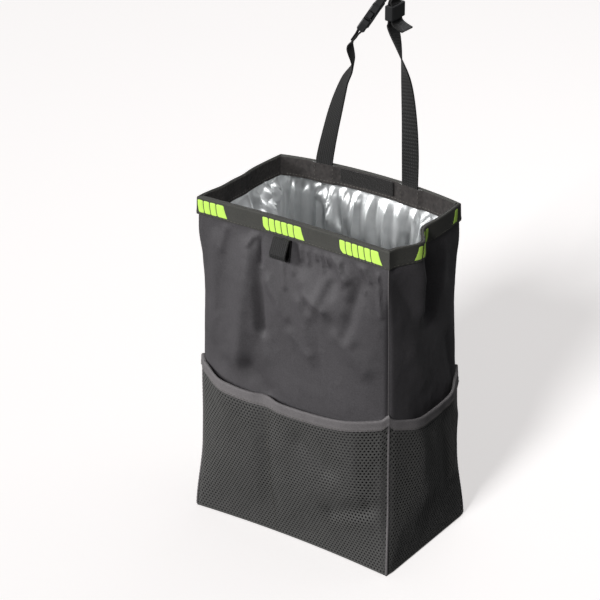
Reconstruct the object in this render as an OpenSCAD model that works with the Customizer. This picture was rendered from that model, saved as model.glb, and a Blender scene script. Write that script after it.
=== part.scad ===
// Car trash bin: a soft lined bag with net pockets, a stayed rim and a hanging strap.
// Millimetres. +X is right, +Y is the back, +Z is up. The origin is the middle of the base, on the floor.

/* [Body] */
// Width of the base, left to right
base_w = 250; // [220:1:280]
// Depth of the base, front to back
base_d = 152; // [130:1:175]
// Height of the bag from the floor to the top of the rim
body_h = 370; // [330:1:410]
// Width of the mouth along the front rim
rim_front_w = 234; // [205:1:260]
// Width of the mouth along the back rim
rim_back_w = 224; // [195:1:250]
// Depth of the mouth, front to back
rim_d = 138; // [115:1:160]

/* [Slack] */
// How far the corner seams are drawn in sideways at the waist
waist_x = 11; // [0:0.5:14]
// How far the corner seams are drawn in front to back at the waist
waist_y = 6.5; // [0:0.5:9]
// Belly of each wall between its corner seams
belly = 4; // [0:0.5:8]
// Inward bow of the front rim and of the base's front edge
front_bow = 6; // [0:0.5:9]
// Outward bow of the back rim, where the strap pulls it
back_bow = 7; // [0:0.5:10]
// Rise of the back rim, where the strap pulls it
back_rise = 2.5; // [0:0.5:5]
// Outward fold of the right rim in front of the gusset crease
gusset_out = 15; // [0:0.5:17]
// Inward gusset crease of both side panels
gusset_in = 9; // [0:0.5:12]
// Height of the folds in the panels, as a share of their full height
fold_share = 1; // [0:0.05:1.2]

/* [Cloth] */
// Thickness of the outer cloth
cloth_t = 1; // [0.6:0.1:1.4]
// Thickness of the lining film
film_t = 0.5; // [0.4:0.1:1]
// Thickness of the woven rim tape and the pocket bindings
tape_t = 1; // [0.6:0.1:1.4]
// Thickness of the pocket net
net_t = 0.9; // [0.6:0.1:1.2]
// Room between neighbouring layers of cloth
layer_gap = 0.3; // [0.2:0.05:0.5]
// Room between the lining and the outer panels, below the rim
film_gap = 2.2; // [1.6:0.1:3.5]

/* [Rim] */
// Height of the outer rim band
band_h = 19.5; // [14:0.5:26]
// Height of the facing inside the rim
facing_h = 22; // [16:0.5:30]
// Thickness of the stay strips in the rim
stay_t = 1.2; // [0.8:0.1:2]
// Height of the stay strips
stay_h = 15; // [10:0.5:18]
// Length of the hook-and-loop patches
patch_l = 66; // [40:1:90]
// Height of the hook-and-loop patches
patch_h = 16; // [10:0.5:18]
// Thickness of each hook-and-loop patch
patch_t = 1.2; // [0.8:0.1:2]
// Distance from one dash group to the next along the band
dash_pitch = 95.5; // [80:0.5:110]
// Height of a dash
dash_h = 13.5; // [9:0.5:15]
// Width of a dash
dash_w = 6.8; // [4:0.1:7.2]
// Distance between the starts of two dashes
dash_step = 7.9; // [7.5:0.1:9]
// Place of the front band's first dash, from its left end; it starts before the corner
dash_first = -14; // [-40:0.5:20]
// Place of a side band's first dash, from its front end
dash_side_first = 23; // [2:0.5:40]
// Thickness of the dashes
dash_t = 0.4; // [0.3:0.1:0.8]

/* [Pockets] */
// Height of the pockets at the corner seams
pocket_edge_h = 185; // [150:1:215]
// Sag of the pockets' top edge between the seams
pocket_sag = 15; // [0:1:22]
// How far a pocket stands off its panel at the top
pocket_stand = 12; // [9:0.5:15]
// Height of the pocket bindings
binding_h = 10; // [6:0.5:14]
// Place of the front pocket's divider seam, as a share of the width
divider_at = 0.42; // [0.3:0.01:0.7]

/* [Base board] */
// Thickness of the base board
board_t = 2.5; // [1.5:0.5:4]
// Room between the base board and the walls
board_room = 3; // [2:0.5:6]

/* [Strap] */
// Width of the webbing
web_w = 20; // [15:1:25]
// Thickness of the webbing
web_t = 1.5; // [1:0.1:2]
// Distance of the left strap from the middle of the back rim
strap_left_x = 57; // [45:1:70]
// Distance of the right strap from the middle of the back rim
strap_right_x = 50; // [45:1:70]
// Length of each strap end that is sewn inside the rim
strap_sewn = 17; // [10:0.5:18]
// Width of the buckle
buckle_w = 28; // [26:1:34]
// Thickness of the buckle
buckle_t = 9; // [7:0.5:11]
// Length of the buckle's socket half
socket_l = 33; // [28:1:40]
// Width of the small loop tab under the front band
tab_w = 20; // [12:1:25]
// Length of the loop tab below the band
tab_l = 22; // [14:1:30]

/* [Hidden] */
$fn = 48;

cloth = [0.24, 0.23, 0.24];
tape = [0.27, 0.27, 0.26];
black = [0.1, 0.1, 0.1];
silver = [0.78, 0.79, 0.8];
bright = [0.8, 0.95, 0.4];

// Cells up one wall of cloth, and across it
rows = 18;
function cols(side) = side == "front" ? 14 : side == "back" ? 10 : 12;
// Rise of the first cloth row above the floor, on top of the base panel
foot = cloth_t + layer_gap;
// Top of the panels, under the fold of the rim bands
panel_top = body_h - tape_t - layer_gap;
// Inward offsets of the layers, from the outer face of the panels; the lining closes up under the rim
function film_off(z) = cloth_t + mix(film_gap, layer_gap, ease(0.86, 0.93, z / body_h));
stay_off = cloth_t + layer_gap + film_t + layer_gap;
facing_off_x = stay_off;
facing_off_y = stay_off + stay_t + layer_gap;
// Height and share of the height above which the walls run straight up behind the band and the facing
band_low = body_h - max(band_h, facing_h);
band_share = band_low / body_h;
// Shares of the height between which the waist is fully drawn in
waist_low = 0.22;
waist_high = 0.7;
waist_end = 0.92;

// Smooth step from 0 at a to 1 at b
function ease(a, b, x) = let (k = max(0, min(1, (x - a) / (b - a)))) k * k * (3 - 2 * k);
// Smooth bell around c
function hump(x, c, w) = exp(-pow((x - c) / w, 2));
function mix(a, b, k) = a + (b - a) * k;

function waist(v) = ease(0, waist_low, v) * (1 - ease(waist_high, waist_end, v));
// Half sizes of the level section at height share v
function half_front(v) = mix(base_w, rim_front_w, v) / 2 - waist_x * waist(v);
function half_back(v) = mix(base_w, rim_back_w, v) / 2 - waist_x * waist(v);
function half_depth(v) = mix(base_d, rim_d, v) / 2 - waist_y * waist(v);

// Distance from p to the segment a-b
function seg_dist(p, a, b) =
    let (d = b - a, k = max(0, min(1, ((p - a) * d) / (d * d))))
    norm(p - a - k * d);
// Folds of one wall: [start, end, radius, height], places as shares of the wall, sizes in mm
FRONT_FOLDS = [
    [[0.30, 0.93], [0.24, 0.56], 15, 7],
    [[0.315, 0.95], [0.36, 0.66], 7, -6],
    [[0.30, 0.53], [0.38, 0.47], 12, -5],
    [[0.58, 0.84], [0.70, 0.78], 11, 3.5],
    [[0.56, 0.78], [0.63, 0.64], 8, 3],
    [[0.77, 0.71], [0.90, 0.63], 10, 3.5],
    [[0.63, 0.96], [0.72, 0.86], 6, -2.5],
    [[0.78, 0.96], [0.80, 0.84], 6, 2.5],
    [[0.88, 0.93], [0.80, 0.72], 7, -3],
    [[0.10, 0.90], [0.06, 0.60], 10, 3],
    [[0.14, 0.46], [0.42, 0.30], 16, 3],
    [[0.60, 0.36], [0.72, 0.30], 13, -4],
    [[0.74, 0.16], [0.92, 0.20], 10, -4]
];
SIDE_FOLDS = [
    [[0.50, 0.96], [0.52, 0.74], 11, -8],
    [[0.30, 0.96], [0.36, 0.78], 13, 5],
    [[0.78, 0.97], [0.70, 0.80], 12, 2.5],
    [[0.24, 0.66], [0.40, 0.56], 14, 3],
    [[0.80, 0.62], [0.88, 0.50], 10, -3],
    [[0.20, 0.44], [0.40, 0.20], 14, 3],
    [[0.62, 0.40], [0.76, 0.16], 14, -3],
    [[0.86, 0.36], [0.80, 0.18], 10, 2.5]
];
BACK_FOLDS = [
    [[0.24, 0.92], [0.34, 0.58], 12, -4],
    [[0.74, 0.92], [0.64, 0.56], 13, 4],
    [[0.44, 0.62], [0.56, 0.32], 15, 3],
    [[0.18, 0.34], [0.30, 0.16], 12, -3]
];
function folds(list, t, v, w, i = 0) =
    i >= len(list) ? 0
    : hump(seg_dist([t * w, v * body_h], [list[i][0].x * w, list[i][0].y * body_h],
        [list[i][1].x * w, list[i][1].y * body_h]), 0, list[i][2]) * list[i][3] * fold_share
        + folds(list, t, v, w, i + 1);
// Folds fade out at the seams, at the base and under the rim band
function fade(t, v) = ease(0, 0.1, t) * ease(0, 0.1, 1 - t) * ease(0.01, 0.08, v) * ease(0, 0.07, band_share - v);
function middle(t) = 1 - pow(2 * t - 1, 2);
function belly_at(t, v) = (waist(v) + 0.2 * ease(0, 0.2, v)) * (1 - pow(2 * t - 1, 4));

// Outward swell of each wall. t runs left to right, or front to back
function swell_front(t, v) = (waist_y + belly) * belly_at(t, v) + folds(FRONT_FOLDS, t, v, base_w) * fade(t, v)
    - front_bow * middle(t) * (1 - ease(0, 0.24, v) + ease(0.78, band_share, v));
function swell_back(t, v) = (waist_y + belly) * belly_at(t, v) + folds(BACK_FOLDS, t, v, base_w) * fade(t, v)
    + back_bow * middle(t) * ease(0.78, band_share, v);
// The gusset fold starts higher up near the front corner
function gusset_low(t) = mix(0.88, 0.68, ease(0.04, 0.45, t));
function gusset(t, v, out) = ease(gusset_low(t), band_share, v) * ease(0, 0.12, t) * ease(0, 0.15, 1 - t)
    * (out * hump(t, 0.27, 0.14) - gusset_in * hump(t, 0.5, 0.11) * (1 - 0.7 * ease(0.84, band_share, v)));
function swell_right(t, v) = (waist_x * 0.7 + belly) * belly_at(t, v)
    + folds(SIDE_FOLDS, t, v, base_d) * fade(t, v) + gusset(t, v, gusset_out);
function swell_left(t, v) = (waist_x * 0.7 + belly) * belly_at(t, v)
    + folds(SIDE_FOLDS, 1 - t, v, base_d) * fade(t, v) + gusset(t, v, -gusset_in * 0.4);
// Rise of the back rim
function rise(side, t, v) = side == "back" ? back_rise * middle(t) * ease(0.75, band_share, v) : 0;

// Place across a wall from -1 to 1; an inward offset shortens the wall only near its corner seams
function across(t, half, off) = (2 * t - 1) * half - pow(2 * t - 1, 7) * off;
// Point of a wall: t along it, z the level height, ox and oy the inward offsets
function wall(side, t, z, ox, oy) =
    let (v = z / body_h, w = min(v, band_share))
    side == "front" ? [across(t, half_front(v), ox), -(half_depth(v) - oy) - swell_front(t, w), z]
    : side == "back" ? [across(t, half_back(v), ox), half_depth(v) - oy + swell_back(t, w), z + rise(side, t, w)]
    : side == "right" ? [mix(half_front(v), half_back(v), t) - ox + swell_right(t, w),
        across(t, half_depth(v), oy), z]
    : [-(mix(half_front(v), half_back(v), t) - ox) - swell_left(t, w), across(t, half_depth(v), oy), z];
// True where t runs against the sense in which a wall's outer face is seen
function flipped(side) = side == "back" || side == "left";
// Columns of cloth stand closer together at the gusset creases of the side walls
gusset_crowd = 0.06;
function station(side, k) = side == "front" || side == "back" ? k : k + gusset_crowd * sin(360 * k);
// Share of a wall's length that is left free beside each corner seam
function seam(side) = layer_gap / (side == "front" || side == "back" ? base_w : base_d);
function step_at(side, k) = mix(seam(side), 1 - seam(side), station(side, k));
function steps(side) = [for (i = [0:cols(side)]) step_at(side, i / cols(side))];
// The same columns in the sense that runs round the bag, from corner to corner
function ring_step(side, i, n) = i == 0 ? (flipped(side) ? 1 : 0) : step_at(side, flipped(side) ? 1 - i / n : i / n);
function level_rows(low, high, n) = [for (j = [0:n]) mix(low, high, j / n)];

// Two triangles of a cell. Neighbouring layers split their cells along the same diagonal
function quad(a, b, c, d, flip) = flip ? [[a, d, b], [b, d, c]] : [[a, b, c], [a, c, d]];
function crossed_quad(a, b, c, d, flip) = flip ? [[a, c, b], [a, d, c]] : [[a, b, d], [b, c, d]];
// Closed sheet between an outer and an inner grid of points, row by row from the bottom
module sheet(outer, inner, flip) {
    m = len(outer);
    n = len(outer[0]);
    all = m * n;
    function at(j, i, k) = k * all + j * n + i;
    points = [for (g = [outer, inner]) for (row = g) for (p = row) p];
    faces = [
        for (j = [0:m - 2]) for (i = [0:n - 2]) each quad(at(j, i, 0), at(j + 1, i, 0),
            at(j + 1, i + 1, 0), at(j, i + 1, 0), flip),
        for (j = [0:m - 2]) for (i = [0:n - 2]) each quad(at(j, i, 1), at(j, i + 1, 1),
            at(j + 1, i + 1, 1), at(j + 1, i, 1), flip),
        for (i = [0:n - 2]) each quad(at(0, i, 0), at(0, i + 1, 0), at(0, i + 1, 1), at(0, i, 1), flip),
        for (i = [0:n - 2]) each quad(at(m - 1, i, 0), at(m - 1, i, 1),
            at(m - 1, i + 1, 1), at(m - 1, i + 1, 0), flip),
        for (j = [0:m - 2]) each quad(at(j, 0, 0), at(j, 0, 1), at(j + 1, 0, 1), at(j + 1, 0, 0), flip),
        for (j = [0:m - 2]) each quad(at(j, n - 1, 0), at(j + 1, n - 1, 0),
            at(j + 1, n - 1, 1), at(j, n - 1, 1), flip)
    ];
    polyhedron(points, faces, convexity = 10);
}
// Solid swept through rings of equal point count; closed joins the last ring to the first.
// Rings from number back_from on, and the edges of a ring in the list down, run back beside the first
// ones and get the same diagonals. turned is for rings whose points run round the other way
module sweep(rings, closed, flip = false, back_from = 1e6, down = [], turned = false) {
    m = len(rings);
    n = len(rings[0]);
    last = closed ? m - 1 : m - 2;
    function back(j, i) = j >= back_from || len([for (k = down) if (k == i) k]) > 0;
    function cell(a, b, c, d, j, i) = back(j, i) ? crossed_quad(a, b, c, d, flip) : quad(a, b, c, d, flip);
    faces = [
        for (j = [0:last]) for (i = [0:n - 1])
            each cell(j * n + i, ((j + 1) % m) * n + i, ((j + 1) % m) * n + (i + 1) % n,
                j * n + (i + 1) % n, j, i),
        if (!closed) flip ? [for (i = [n - 1:-1:0]) i] : [for (i = [0:n - 1]) i],
        if (!closed) flip ? [for (i = [0:n - 1]) (m - 1) * n + i]
            : [for (i = [n - 1:-1:0]) (m - 1) * n + i]
    ];
    polyhedron([for (r = rings) for (p = r) p],
        turned ? [for (f = faces) [for (i = [len(f) - 1:-1:0]) f[i]]] : faces, convexity = 10);
}

// The last row of cells is the straight stretch behind the rim band
wall_rows = concat(level_rows(foot, band_low, rows - 1), [panel_top]);
module panel(side) {
    outer = [for (z = wall_rows) [for (t = steps(side)) wall(side, t, z, 0, 0)]];
    inner = [for (z = wall_rows) [for (t = steps(side)) wall(side, t, z, cloth_t, cloth_t)]];
    color(cloth) sheet(outer, inner, flipped(side));
}
module front_panel() { panel("front"); }
module back_panel() { panel("back"); }
module left_panel() { panel("left"); }
module right_panel() { panel("right"); }

// Points once round the bag at height z, with the walls' own columns
function around(z, off) = [
    for (side = ["front", "right", "back", "left"]) let (n = cols(side)) for (i = [0:n - 1])
        wall(side, ring_step(side, i, n), z, off, off)
];
module base_panel() {
    color(cloth) linear_extrude(cloth_t) polygon([for (p = around(0, 0)) [p.x, p.y]]);
}
board_w = base_w - 2 * (film_off(0) + board_room);
board_d = base_d - 2 * (film_off(0) + board_room) - 2 * front_bow;
board_r = 6;
module base_board() {
    color(black) translate([0, 0, foot]) linear_extrude(board_t)
        hull() for (x = [-1, 1]) for (y = [-1, 1])
            translate([x * (board_w / 2 - board_r), y * (board_d / 2 - board_r)]) circle(board_r);
}

film_foot = foot + board_t + layer_gap;
module lining() {
    function layer(j, low, in) = let (z = j == 0 ? low : wall_rows[j]) around(z, film_off(z) + in);
    outer = [for (j = [0:rows]) layer(j, film_foot, 0)];
    inner = [for (j = [0:rows]) layer(j, film_foot + film_t, film_t)];
    color(silver) sweep(concat(outer, [for (j = [rows:-1:0]) inner[j]]), false, back_from = rows + 1);
}

// Fold of tape over the panels' top edge: outer leg, cap and inner side
module band(side) {
    out = layer_gap + tape_t;
    in_x = stay_off - layer_gap;
    in_y = side == "front" || side == "back" ? stay_off + stay_t : stay_off - layer_gap;
    low = body_h - band_h;
    cap = body_h - tape_t;
    function pt(t, off, z) = wall(side, t, z, off, off);
    inside = side == "front" || side == "back" ? in_y : in_x;
    rings = [for (t = steps(side)) [
        pt(t, -out, low), pt(t, -out, body_h), pt(t, inside, body_h),
        pt(t, inside, cap), pt(t, -layer_gap, cap), pt(t, -layer_gap, low)
    ]];
    color(tape) sweep(rings, false, flipped(side), down = [4], turned = true);
}
module band_front() { band("front"); }
module band_back() { band("back"); }
module band_left() { band("left"); }
module band_right() { band("right"); }

// Lift of the facing over a strap end that is sewn behind it
lift_margin = 7;
lift_reach = web_w / 2 + lift_margin;
function strap_lift(x) = (web_t + layer_gap)
    * (ease(0, 6, lift_reach - abs(x + strap_left_x)) + ease(0, 6, lift_reach - abs(x - strap_right_x)));
function facing_pt(side, t, z, extra) =
    let (p = wall(side, t, z, 0, 0))
    wall(side, t, z, facing_off_x + extra, facing_off_y + extra + (side == "back" ? strap_lift(p.x) : 0));
module rim_facing() {
    low = body_h - facing_h;
    // Three stretches to a column on the back, where it lifts over the strap ends, but one at the corners
    stops = [
        for (side = ["front", "right", "back", "left"]) let (k = side == "back" ? 3 : 1, n = cols(side) * k)
            for (i = [0:n - 1]) if (i % k == 0 || (i > k && i < n - k)) [side, ring_step(side, i, n)]
    ];
    color(black) sweep([for (s = stops) [
        facing_pt(s[0], s[1], low, 0), facing_pt(s[0], s[1], body_h, 0),
        facing_pt(s[0], s[1], body_h, tape_t), facing_pt(s[0], s[1], low, tape_t)
    ]], true, down = [2], turned = true);
}

module stay(side) {
    high = body_h - tape_t - layer_gap;
    levels = [high - stay_h, high];
    all = steps(side);
    n = cols(side);
    // The strip ends in the middle of the outermost cells
    ts = concat([(all[0] + all[1]) / 2], [for (i = [1:n - 1]) all[i]], [(all[n - 1] + all[n]) / 2]);
    outer = [for (z = levels) [for (t = ts) wall(side, t, z, stay_off, stay_off)]];
    inner = [for (z = levels) [for (t = ts) wall(side, t, z, stay_off + stay_t, stay_off + stay_t)]];
    color("gainsboro") sheet(outer, inner, flipped(side));
}
module stay_front() { stay("front"); }
module stay_back() { stay("back"); }

module patch(side) {
    low = body_h - (facing_h + patch_h) / 2;
    off = facing_off_y + tape_t + layer_gap;
    length = side == "front" ? rim_front_w : rim_back_w;
    // Midway between the two strap ends
    mid = 0.5 + (strap_right_x - strap_left_x) / 2 / length;
    half = patch_l / 2 / length;
    ts = [for (i = [0:8]) mix(mid - half, mid + half, i / 8)];
    levels = [low, low + patch_h];
    outer = [for (z = levels) [for (t = ts) wall(side, t, z, off, off)]];
    inner = [for (z = levels) [for (t = ts) wall(side, t, z, off + patch_t, off + patch_t)]];
    color(black) sheet(outer, inner, flipped(side));
}
module hook_patch() { patch("front"); }
module loop_patch() { patch("back"); }

// Dashes: groups of six leaning bars along each band; the last bar of a group has a pointed tail
dash_count = 6;
dash_lean = 4.5;
// The last bar of a group is wider
dash_last_w = 1.35 * dash_w;
dash_margin = 1;
// Point of a wall as its flat stretches run, between the columns
function on_cells(side, t, z, off) =
    let (
        ts = steps(side),
        i = max([for (j = [0:cols(side) - 1]) ts[j] <= t ? j : 0]),
        k = (t - ts[i]) / (ts[i + 1] - ts[i])
    )
    mix(wall(side, ts[i], z, off, off), wall(side, ts[i + 1], z, off, off), k);
// One bar. It stands upright and its lower end leans along the band
module dash_bar(side, start, width, way) {
    length = side == "front" ? rim_front_w : side == "back" ? rim_back_w : rim_d;
    top = body_h - (band_h - dash_h) / 2;
    off = -(layer_gap + tape_t + 2.5 * layer_gap);
    levels = [[top - dash_h, 1], [top - 0.65 * dash_h, 0.28], [top, 0]];
    // The middle column lies on a column of the band, where the bar crosses one
    function columns_at(shift) =
        let (
            a = (start + way * shift) / length,
            b = (start + way * (shift + width)) / length,
            inside = [for (t = steps(side)) if (t > min(a, b) && t < max(a, b)) t]
        )
        [a, len(inside) > 0 ? inside[0] : (a + b) / 2, b];
    function grid(out) = [for (l = levels) [for (t = columns_at(l[1] * dash_lean)) on_cells(side, t, l[0], out)]];
    sheet(grid(off - dash_t), grid(off), way > 0 ? flipped(side) : !flipped(side));
}
module band_dashes() {
    group_l = (dash_count - 1) * dash_step + dash_last_w + dash_lean;
    color(bright) for (side = ["front", "back", "left", "right"]) {
        length = side == "front" ? rim_front_w : side == "back" ? rim_back_w : rim_d;
        // Side bands run the other way, with the wide bar towards the front
        way = side == "front" || side == "back" ? 1 : -1;
        first = way > 0 ? dash_first : dash_side_first + group_l;
        for (g = [0:2]) for (i = [0:dash_count - 1]) {
            width = i == dash_count - 1 ? dash_last_w : dash_w;
            start = first + g * dash_pitch + way * i * dash_step;
            end = start + way * (width + dash_lean);
            if (min(start, end) > dash_margin && max(start, end) < length - dash_margin)
                dash_bar(side, start, width, way);
        }
    }
}

// Pockets
function pocket_top(side, t) = pocket_edge_h - pocket_sag * (1 - pow(abs(2 * t - 1), 3));
// Room at a pocket's edge for the inner leg of its binding
pocket_room = net_t + tape_t + 2 * layer_gap;
function stand(side, t, z) =
    let (
        k = z / pocket_top(side, t),
        sewn = side == "front" ? 1 - 0.75 * hump(t, divider_at, 0.05) * (1 - 0.4 * k) : 1
    )
    layer_gap + net_t + (pocket_room - net_t) * ease(0.6, 0.92, k)
        + (pocket_stand - pocket_room) * sewn * ease(0, 0.75, k) * ease(0, 0.16, t) * ease(0, 0.16, 1 - t);
pocket_rows = 9;
module pocket(side) {
    ts = steps(side);
    // The top row of cells is as high as the binding
    function z_at(t, j) = j >= pocket_rows - 1 ? pocket_top(side, t) - (pocket_rows - j) * binding_h
        : mix(foot, pocket_edge_h - pocket_sag - 2 * binding_h, j / (pocket_rows - 2));
    function pt(t, j, off) = let (z = z_at(t, j), o = off - stand(side, t, z)) wall(side, t, z, o, o);
    outer = [for (j = [0:pocket_rows]) [for (t = ts) pt(t, j, 0)]];
    inner = [for (j = [0:pocket_rows]) [for (t = ts) pt(t, j, net_t)]];
    color([0.17, 0.17, 0.18]) sheet(outer, inner, flipped(side));
}
module pocket_front() { pocket("front"); }
module pocket_left() { pocket("left"); }
module pocket_right() { pocket("right"); }

// Binding folded over a pocket's top edge
module binding(side) {
    // Height dz above the net's edge, on the straight line of the net's top row of cells
    function level(t, z, off) = let (o = off - stand(side, t, z)) wall(side, t, z, o, o);
    function pt(t, off, dz) = let (z = pocket_top(side, t))
        mix(level(t, z - binding_h, off), level(t, z, off), 1 + dz / binding_h);
    a = -layer_gap - tape_t;
    b = -layer_gap;
    c = net_t + layer_gap;
    d = net_t + layer_gap + tape_t;
    rings = [for (t = steps(side)) [
        pt(t, a, -binding_h), pt(t, a, layer_gap + tape_t), pt(t, d, layer_gap + tape_t),
        pt(t, d, -binding_h), pt(t, c, -binding_h), pt(t, c, layer_gap), pt(t, b, layer_gap), pt(t, b, -binding_h)
    ]];
    color(tape) sweep(rings, false, flipped(side), down = [2, 6], turned = true);
}
module binding_front() { binding("front"); }
module binding_left() { binding("left"); }
module binding_right() { binding("right"); }

// Webbing: a flat band along a smooth route; every stop is [x, y, z, turn], the turn in degrees about +Z
function spline(a, b, c, d, k) = 0.5 * (2 * b + (c - a) * k + (2 * a - 5 * b + 4 * c - d) * k * k
    + (3 * b - a - 3 * c + d) * k * k * k);
function route(stops, n) = [
    for (i = [0:len(stops) - 2]) for (j = [0:n - 1])
        spline(stops[max(i - 1, 0)], stops[i], stops[i + 1], stops[min(i + 2, len(stops) - 1)], j / n),
    stops[len(stops) - 1]
];
function unit(p) = p / norm(p);
function xyz(p) = [p[0], p[1], p[2]];
// Frames of a route: [point, direction of the width, direction of the thickness]
function frames(way) = [
    for (i = [0:len(way) - 1]) let (
        tan = unit(xyz(way[min(i + 1, len(way) - 1)]) - xyz(way[max(i - 1, 0)])),
        flat_dir = [cos(way[i][3]), sin(way[i][3]), 0],
        across = unit(flat_dir - (flat_dir * tan) * tan)
    ) [xyz(way[i]), across, cross(tan, across)]
];
module webbing(spots) {
    rings = [for (s = spots) [for (c = [[-1, -1], [1, -1], [1, 1], [-1, 1]])
        s[0] + s[1] * c.x * web_w / 2 + s[2] * c.y * web_t / 2]];
    sweep(rings, false);
}
// One layer of webbing beside another
layer_step = web_t + layer_gap;

// Depth of the strap ends: between the rim's layers and the facing
function strap_y(x, z) = wall("back", x / rim_back_w + 0.5, z, 0, facing_off_y + web_t / 2).y;
// Turn of the back rim at x
function rim_turn(x) = atan((strap_y(x + 5, body_h) - strap_y(x - 5, body_h)) / 10);
rim_z = body_h + back_rise;
// Lower end of the buckle above the rim, and the lean of its axis from upright
buckle_at = [-14, 76, body_h + 160];
buckle_lean = 33;
buckle_way = 35;
buckle_roll = -15;
// The slider on the right strap
slider_at = [18, 88, body_h + 182];
slider_turn = -88;
slider_l = 16;
slider_bar = 1.5;
// Bars of the buckle that the webbing is looped around
bar_r = 1.5;
loop_r = bar_r + layer_gap + web_t / 2;
bar_clear = loop_r + web_t / 2 + layer_gap;
plug_l = 15;
plug_foot = socket_l + layer_gap;
plug_top = plug_foot + plug_l;
socket_bar = bar_r;
plug_bar = plug_top - bar_r;
// How far below its bar a strap end is sewn back on itself
loop_sewn = 14;
// Directions of the buckle's thickness, width and length
function turned(p) = let (
    a = [p.x * cos(buckle_roll) - p.y * sin(buckle_roll), p.x * sin(buckle_roll) + p.y * cos(buckle_roll), p.z],
    b = [a.x * cos(buckle_lean) + a.z * sin(buckle_lean), a.y, a.z * cos(buckle_lean) - a.x * sin(buckle_lean)]
) [b.x * cos(buckle_way) - b.y * sin(buckle_way), b.x * sin(buckle_way) + b.y * cos(buckle_way), b.z];
// Point in the buckle, off its middle plane and up its axis
function in_buckle(off, s) = buckle_at + turned([off, 0, s]);
// Turn about +Z of webbing that lies along the buckle's axis
buckle_turn = let (y = -turned([0, 1, 0]), z = turned([0, 0, 1]), flat = z.z * y - y.z * z) atan2(flat.y, flat.x);
function buckle_stop(off, s) = concat(in_buckle(off, s), [buckle_turn]);
// Frames of webbing in the buckle along a list of [off, s]
function buckle_frames(path) = [
    for (i = [0:len(path) - 1]) let (
        d = unit(path[min(i + 1, len(path) - 1)] - path[max(i - 1, 0)])
    ) [in_buckle(path[i].x, path[i].y), -turned([0, 1, 0]), turned([d.y, 0, -d.x])]
];
function rim_stops(x) = [for (dz = [-strap_sewn, -strap_sewn / 3, strap_sewn / 3])
    [x, strap_y(x, min(body_h, body_h + dz)), body_h + dz, rim_turn(x)]];
// Stops above the rim, from where each strap leaves it
left_rise = [[5, 1, 30, -4], [12, 3, 62, -10], [22, 4, 94, -20], [33, 4, 116, -52]];
right_rise = [[-1, 1, 36, 0], [-5, 4, 74, -10], [-12, 8, 110, -28], [-22, 11, 138, -60]];
function rise_stops(x, list) = [for (s = list) [x, strap_y(x, body_h), rim_z, 0] + s];
// The left strap's end goes round the socket's bar and is sewn back on itself
module strap_left() {
    way = route(concat(rim_stops(-strap_left_x), rise_stops(-strap_left_x, left_rise), [
        buckle_stop(0, -loop_sewn - 8),
        buckle_stop(0, -loop_sewn - 1),
        buckle_stop(0, -8)
    ]), 4);
    round_bar = [for (a = [0:36:180]) [loop_r * cos(a), socket_bar + loop_r * sin(a)]];
    color(tape) webbing(concat(frames(way), buckle_frames(concat(
        [[layer_step * 0.6, -4]], round_bar, [[-layer_step, -5], [-layer_step, -loop_sewn]]
    ))));
}
// The right strap goes up through the slider, round the plug's bar and back, and leaves a loose tail
module strap_right() {
    half = slider_l / 2 + 2;
    off = (slider_bar + web_t) / 2 + layer_gap;
    across = [sin(slider_turn), -cos(slider_turn), 0];
    inner = slider_at + off * across;
    outer = slider_at - off * across;
    n = 4;
    up = concat(rim_stops(strap_right_x), rise_stops(strap_right_x, right_rise));
    top = [
        for (z = [-half - slider_lead, -half, 0, half]) concat(inner + [0, 0, z], [slider_turn]),
        for (b = top_bend) [b[0], b[1], b[2], b[3]] + concat(in_buckle(0, plug_top + bend_foot), [buckle_turn]),
        buckle_stop(0, plug_top + 6.5),
        buckle_stop(0, plug_top + 3)
    ];
    main = frames(route(concat(up, top), n));
    last = len(main) - 1;
    round_bar = [for (a = [0:-36:-180]) [loop_r * cos(a), plug_bar + loop_r * sin(a)]];
    // The second layer runs outside the first, down to just above the slider
    first_back = (len(up) + 3) * n;
    back = [for (i = [last:-1:first_back])
        let (away = layer_step + bend_gap * sin(180 * (i - first_back) / (last - first_back)))
            [main[i][0] + main[i][2] * away, main[i][1], -main[i][2]]];
    tail = frames(route([
        for (z = [half - 2, 0, -half + 2]) concat(outer + [0, 0, z], [slider_turn]),
        for (d = tail_bend) concat(outer + [d.x, 0, d.y - half], [slider_turn])
    ], 3));
    color(tape) webbing(concat(main, buckle_frames(round_bar), back, tail));
}
// Straight run of the webbing before the slider
slider_lead = 8;
// The bend over the top between slider and plug, from a point this far above the plug
bend_foot = 8;
// Extra room between the two layers at the top of that bend
bend_gap = 1.7;
top_bend = [[8.6, -2.8, -2, -12], [8, -0.8, 7, -8], [3, 1, 10, -3]];
// The tail below the slider, as steps out and down
tail_bend = [[1.5, -2], [6.5, -5], [13.5, -7.5]];

// Frame of the buckle: thickness along X, width along Y, length up Z
module on_buckle() {
    translate(buckle_at) rotate([0, buckle_lean, buckle_way]) rotate([0, 0, buckle_roll]) children();
}
// Moulded plate with bevelled edges from an outline in width and length
module plate(points, thick, bevel) {
    rotate([90, 0, 90]) hull() {
        linear_extrude(thick - 2 * bevel, center = true) polygon(points);
        linear_extrude(thick, center = true) offset(delta = -bevel) polygon(points);
    }
}
// The right half of an outline, mirrored to the left
function both(points) = concat(points, [for (i = [len(points) - 1:-1:0]) [-points[i].x, points[i].y]]);
// Block in the buckle: thickness, width and the stretch of length from a to b
module block(thick, width, a, b) {
    translate([-thick / 2, -width / 2, a]) cube([thick, width, b - a]);
}
module bar(s) {
    translate([0, 0, s]) rotate([90, 0, 0]) cylinder(r = bar_r - 0.1, h = web_w + 3, center = true, $fn = 8);
}
web_slot = web_w + 1.2;
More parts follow.
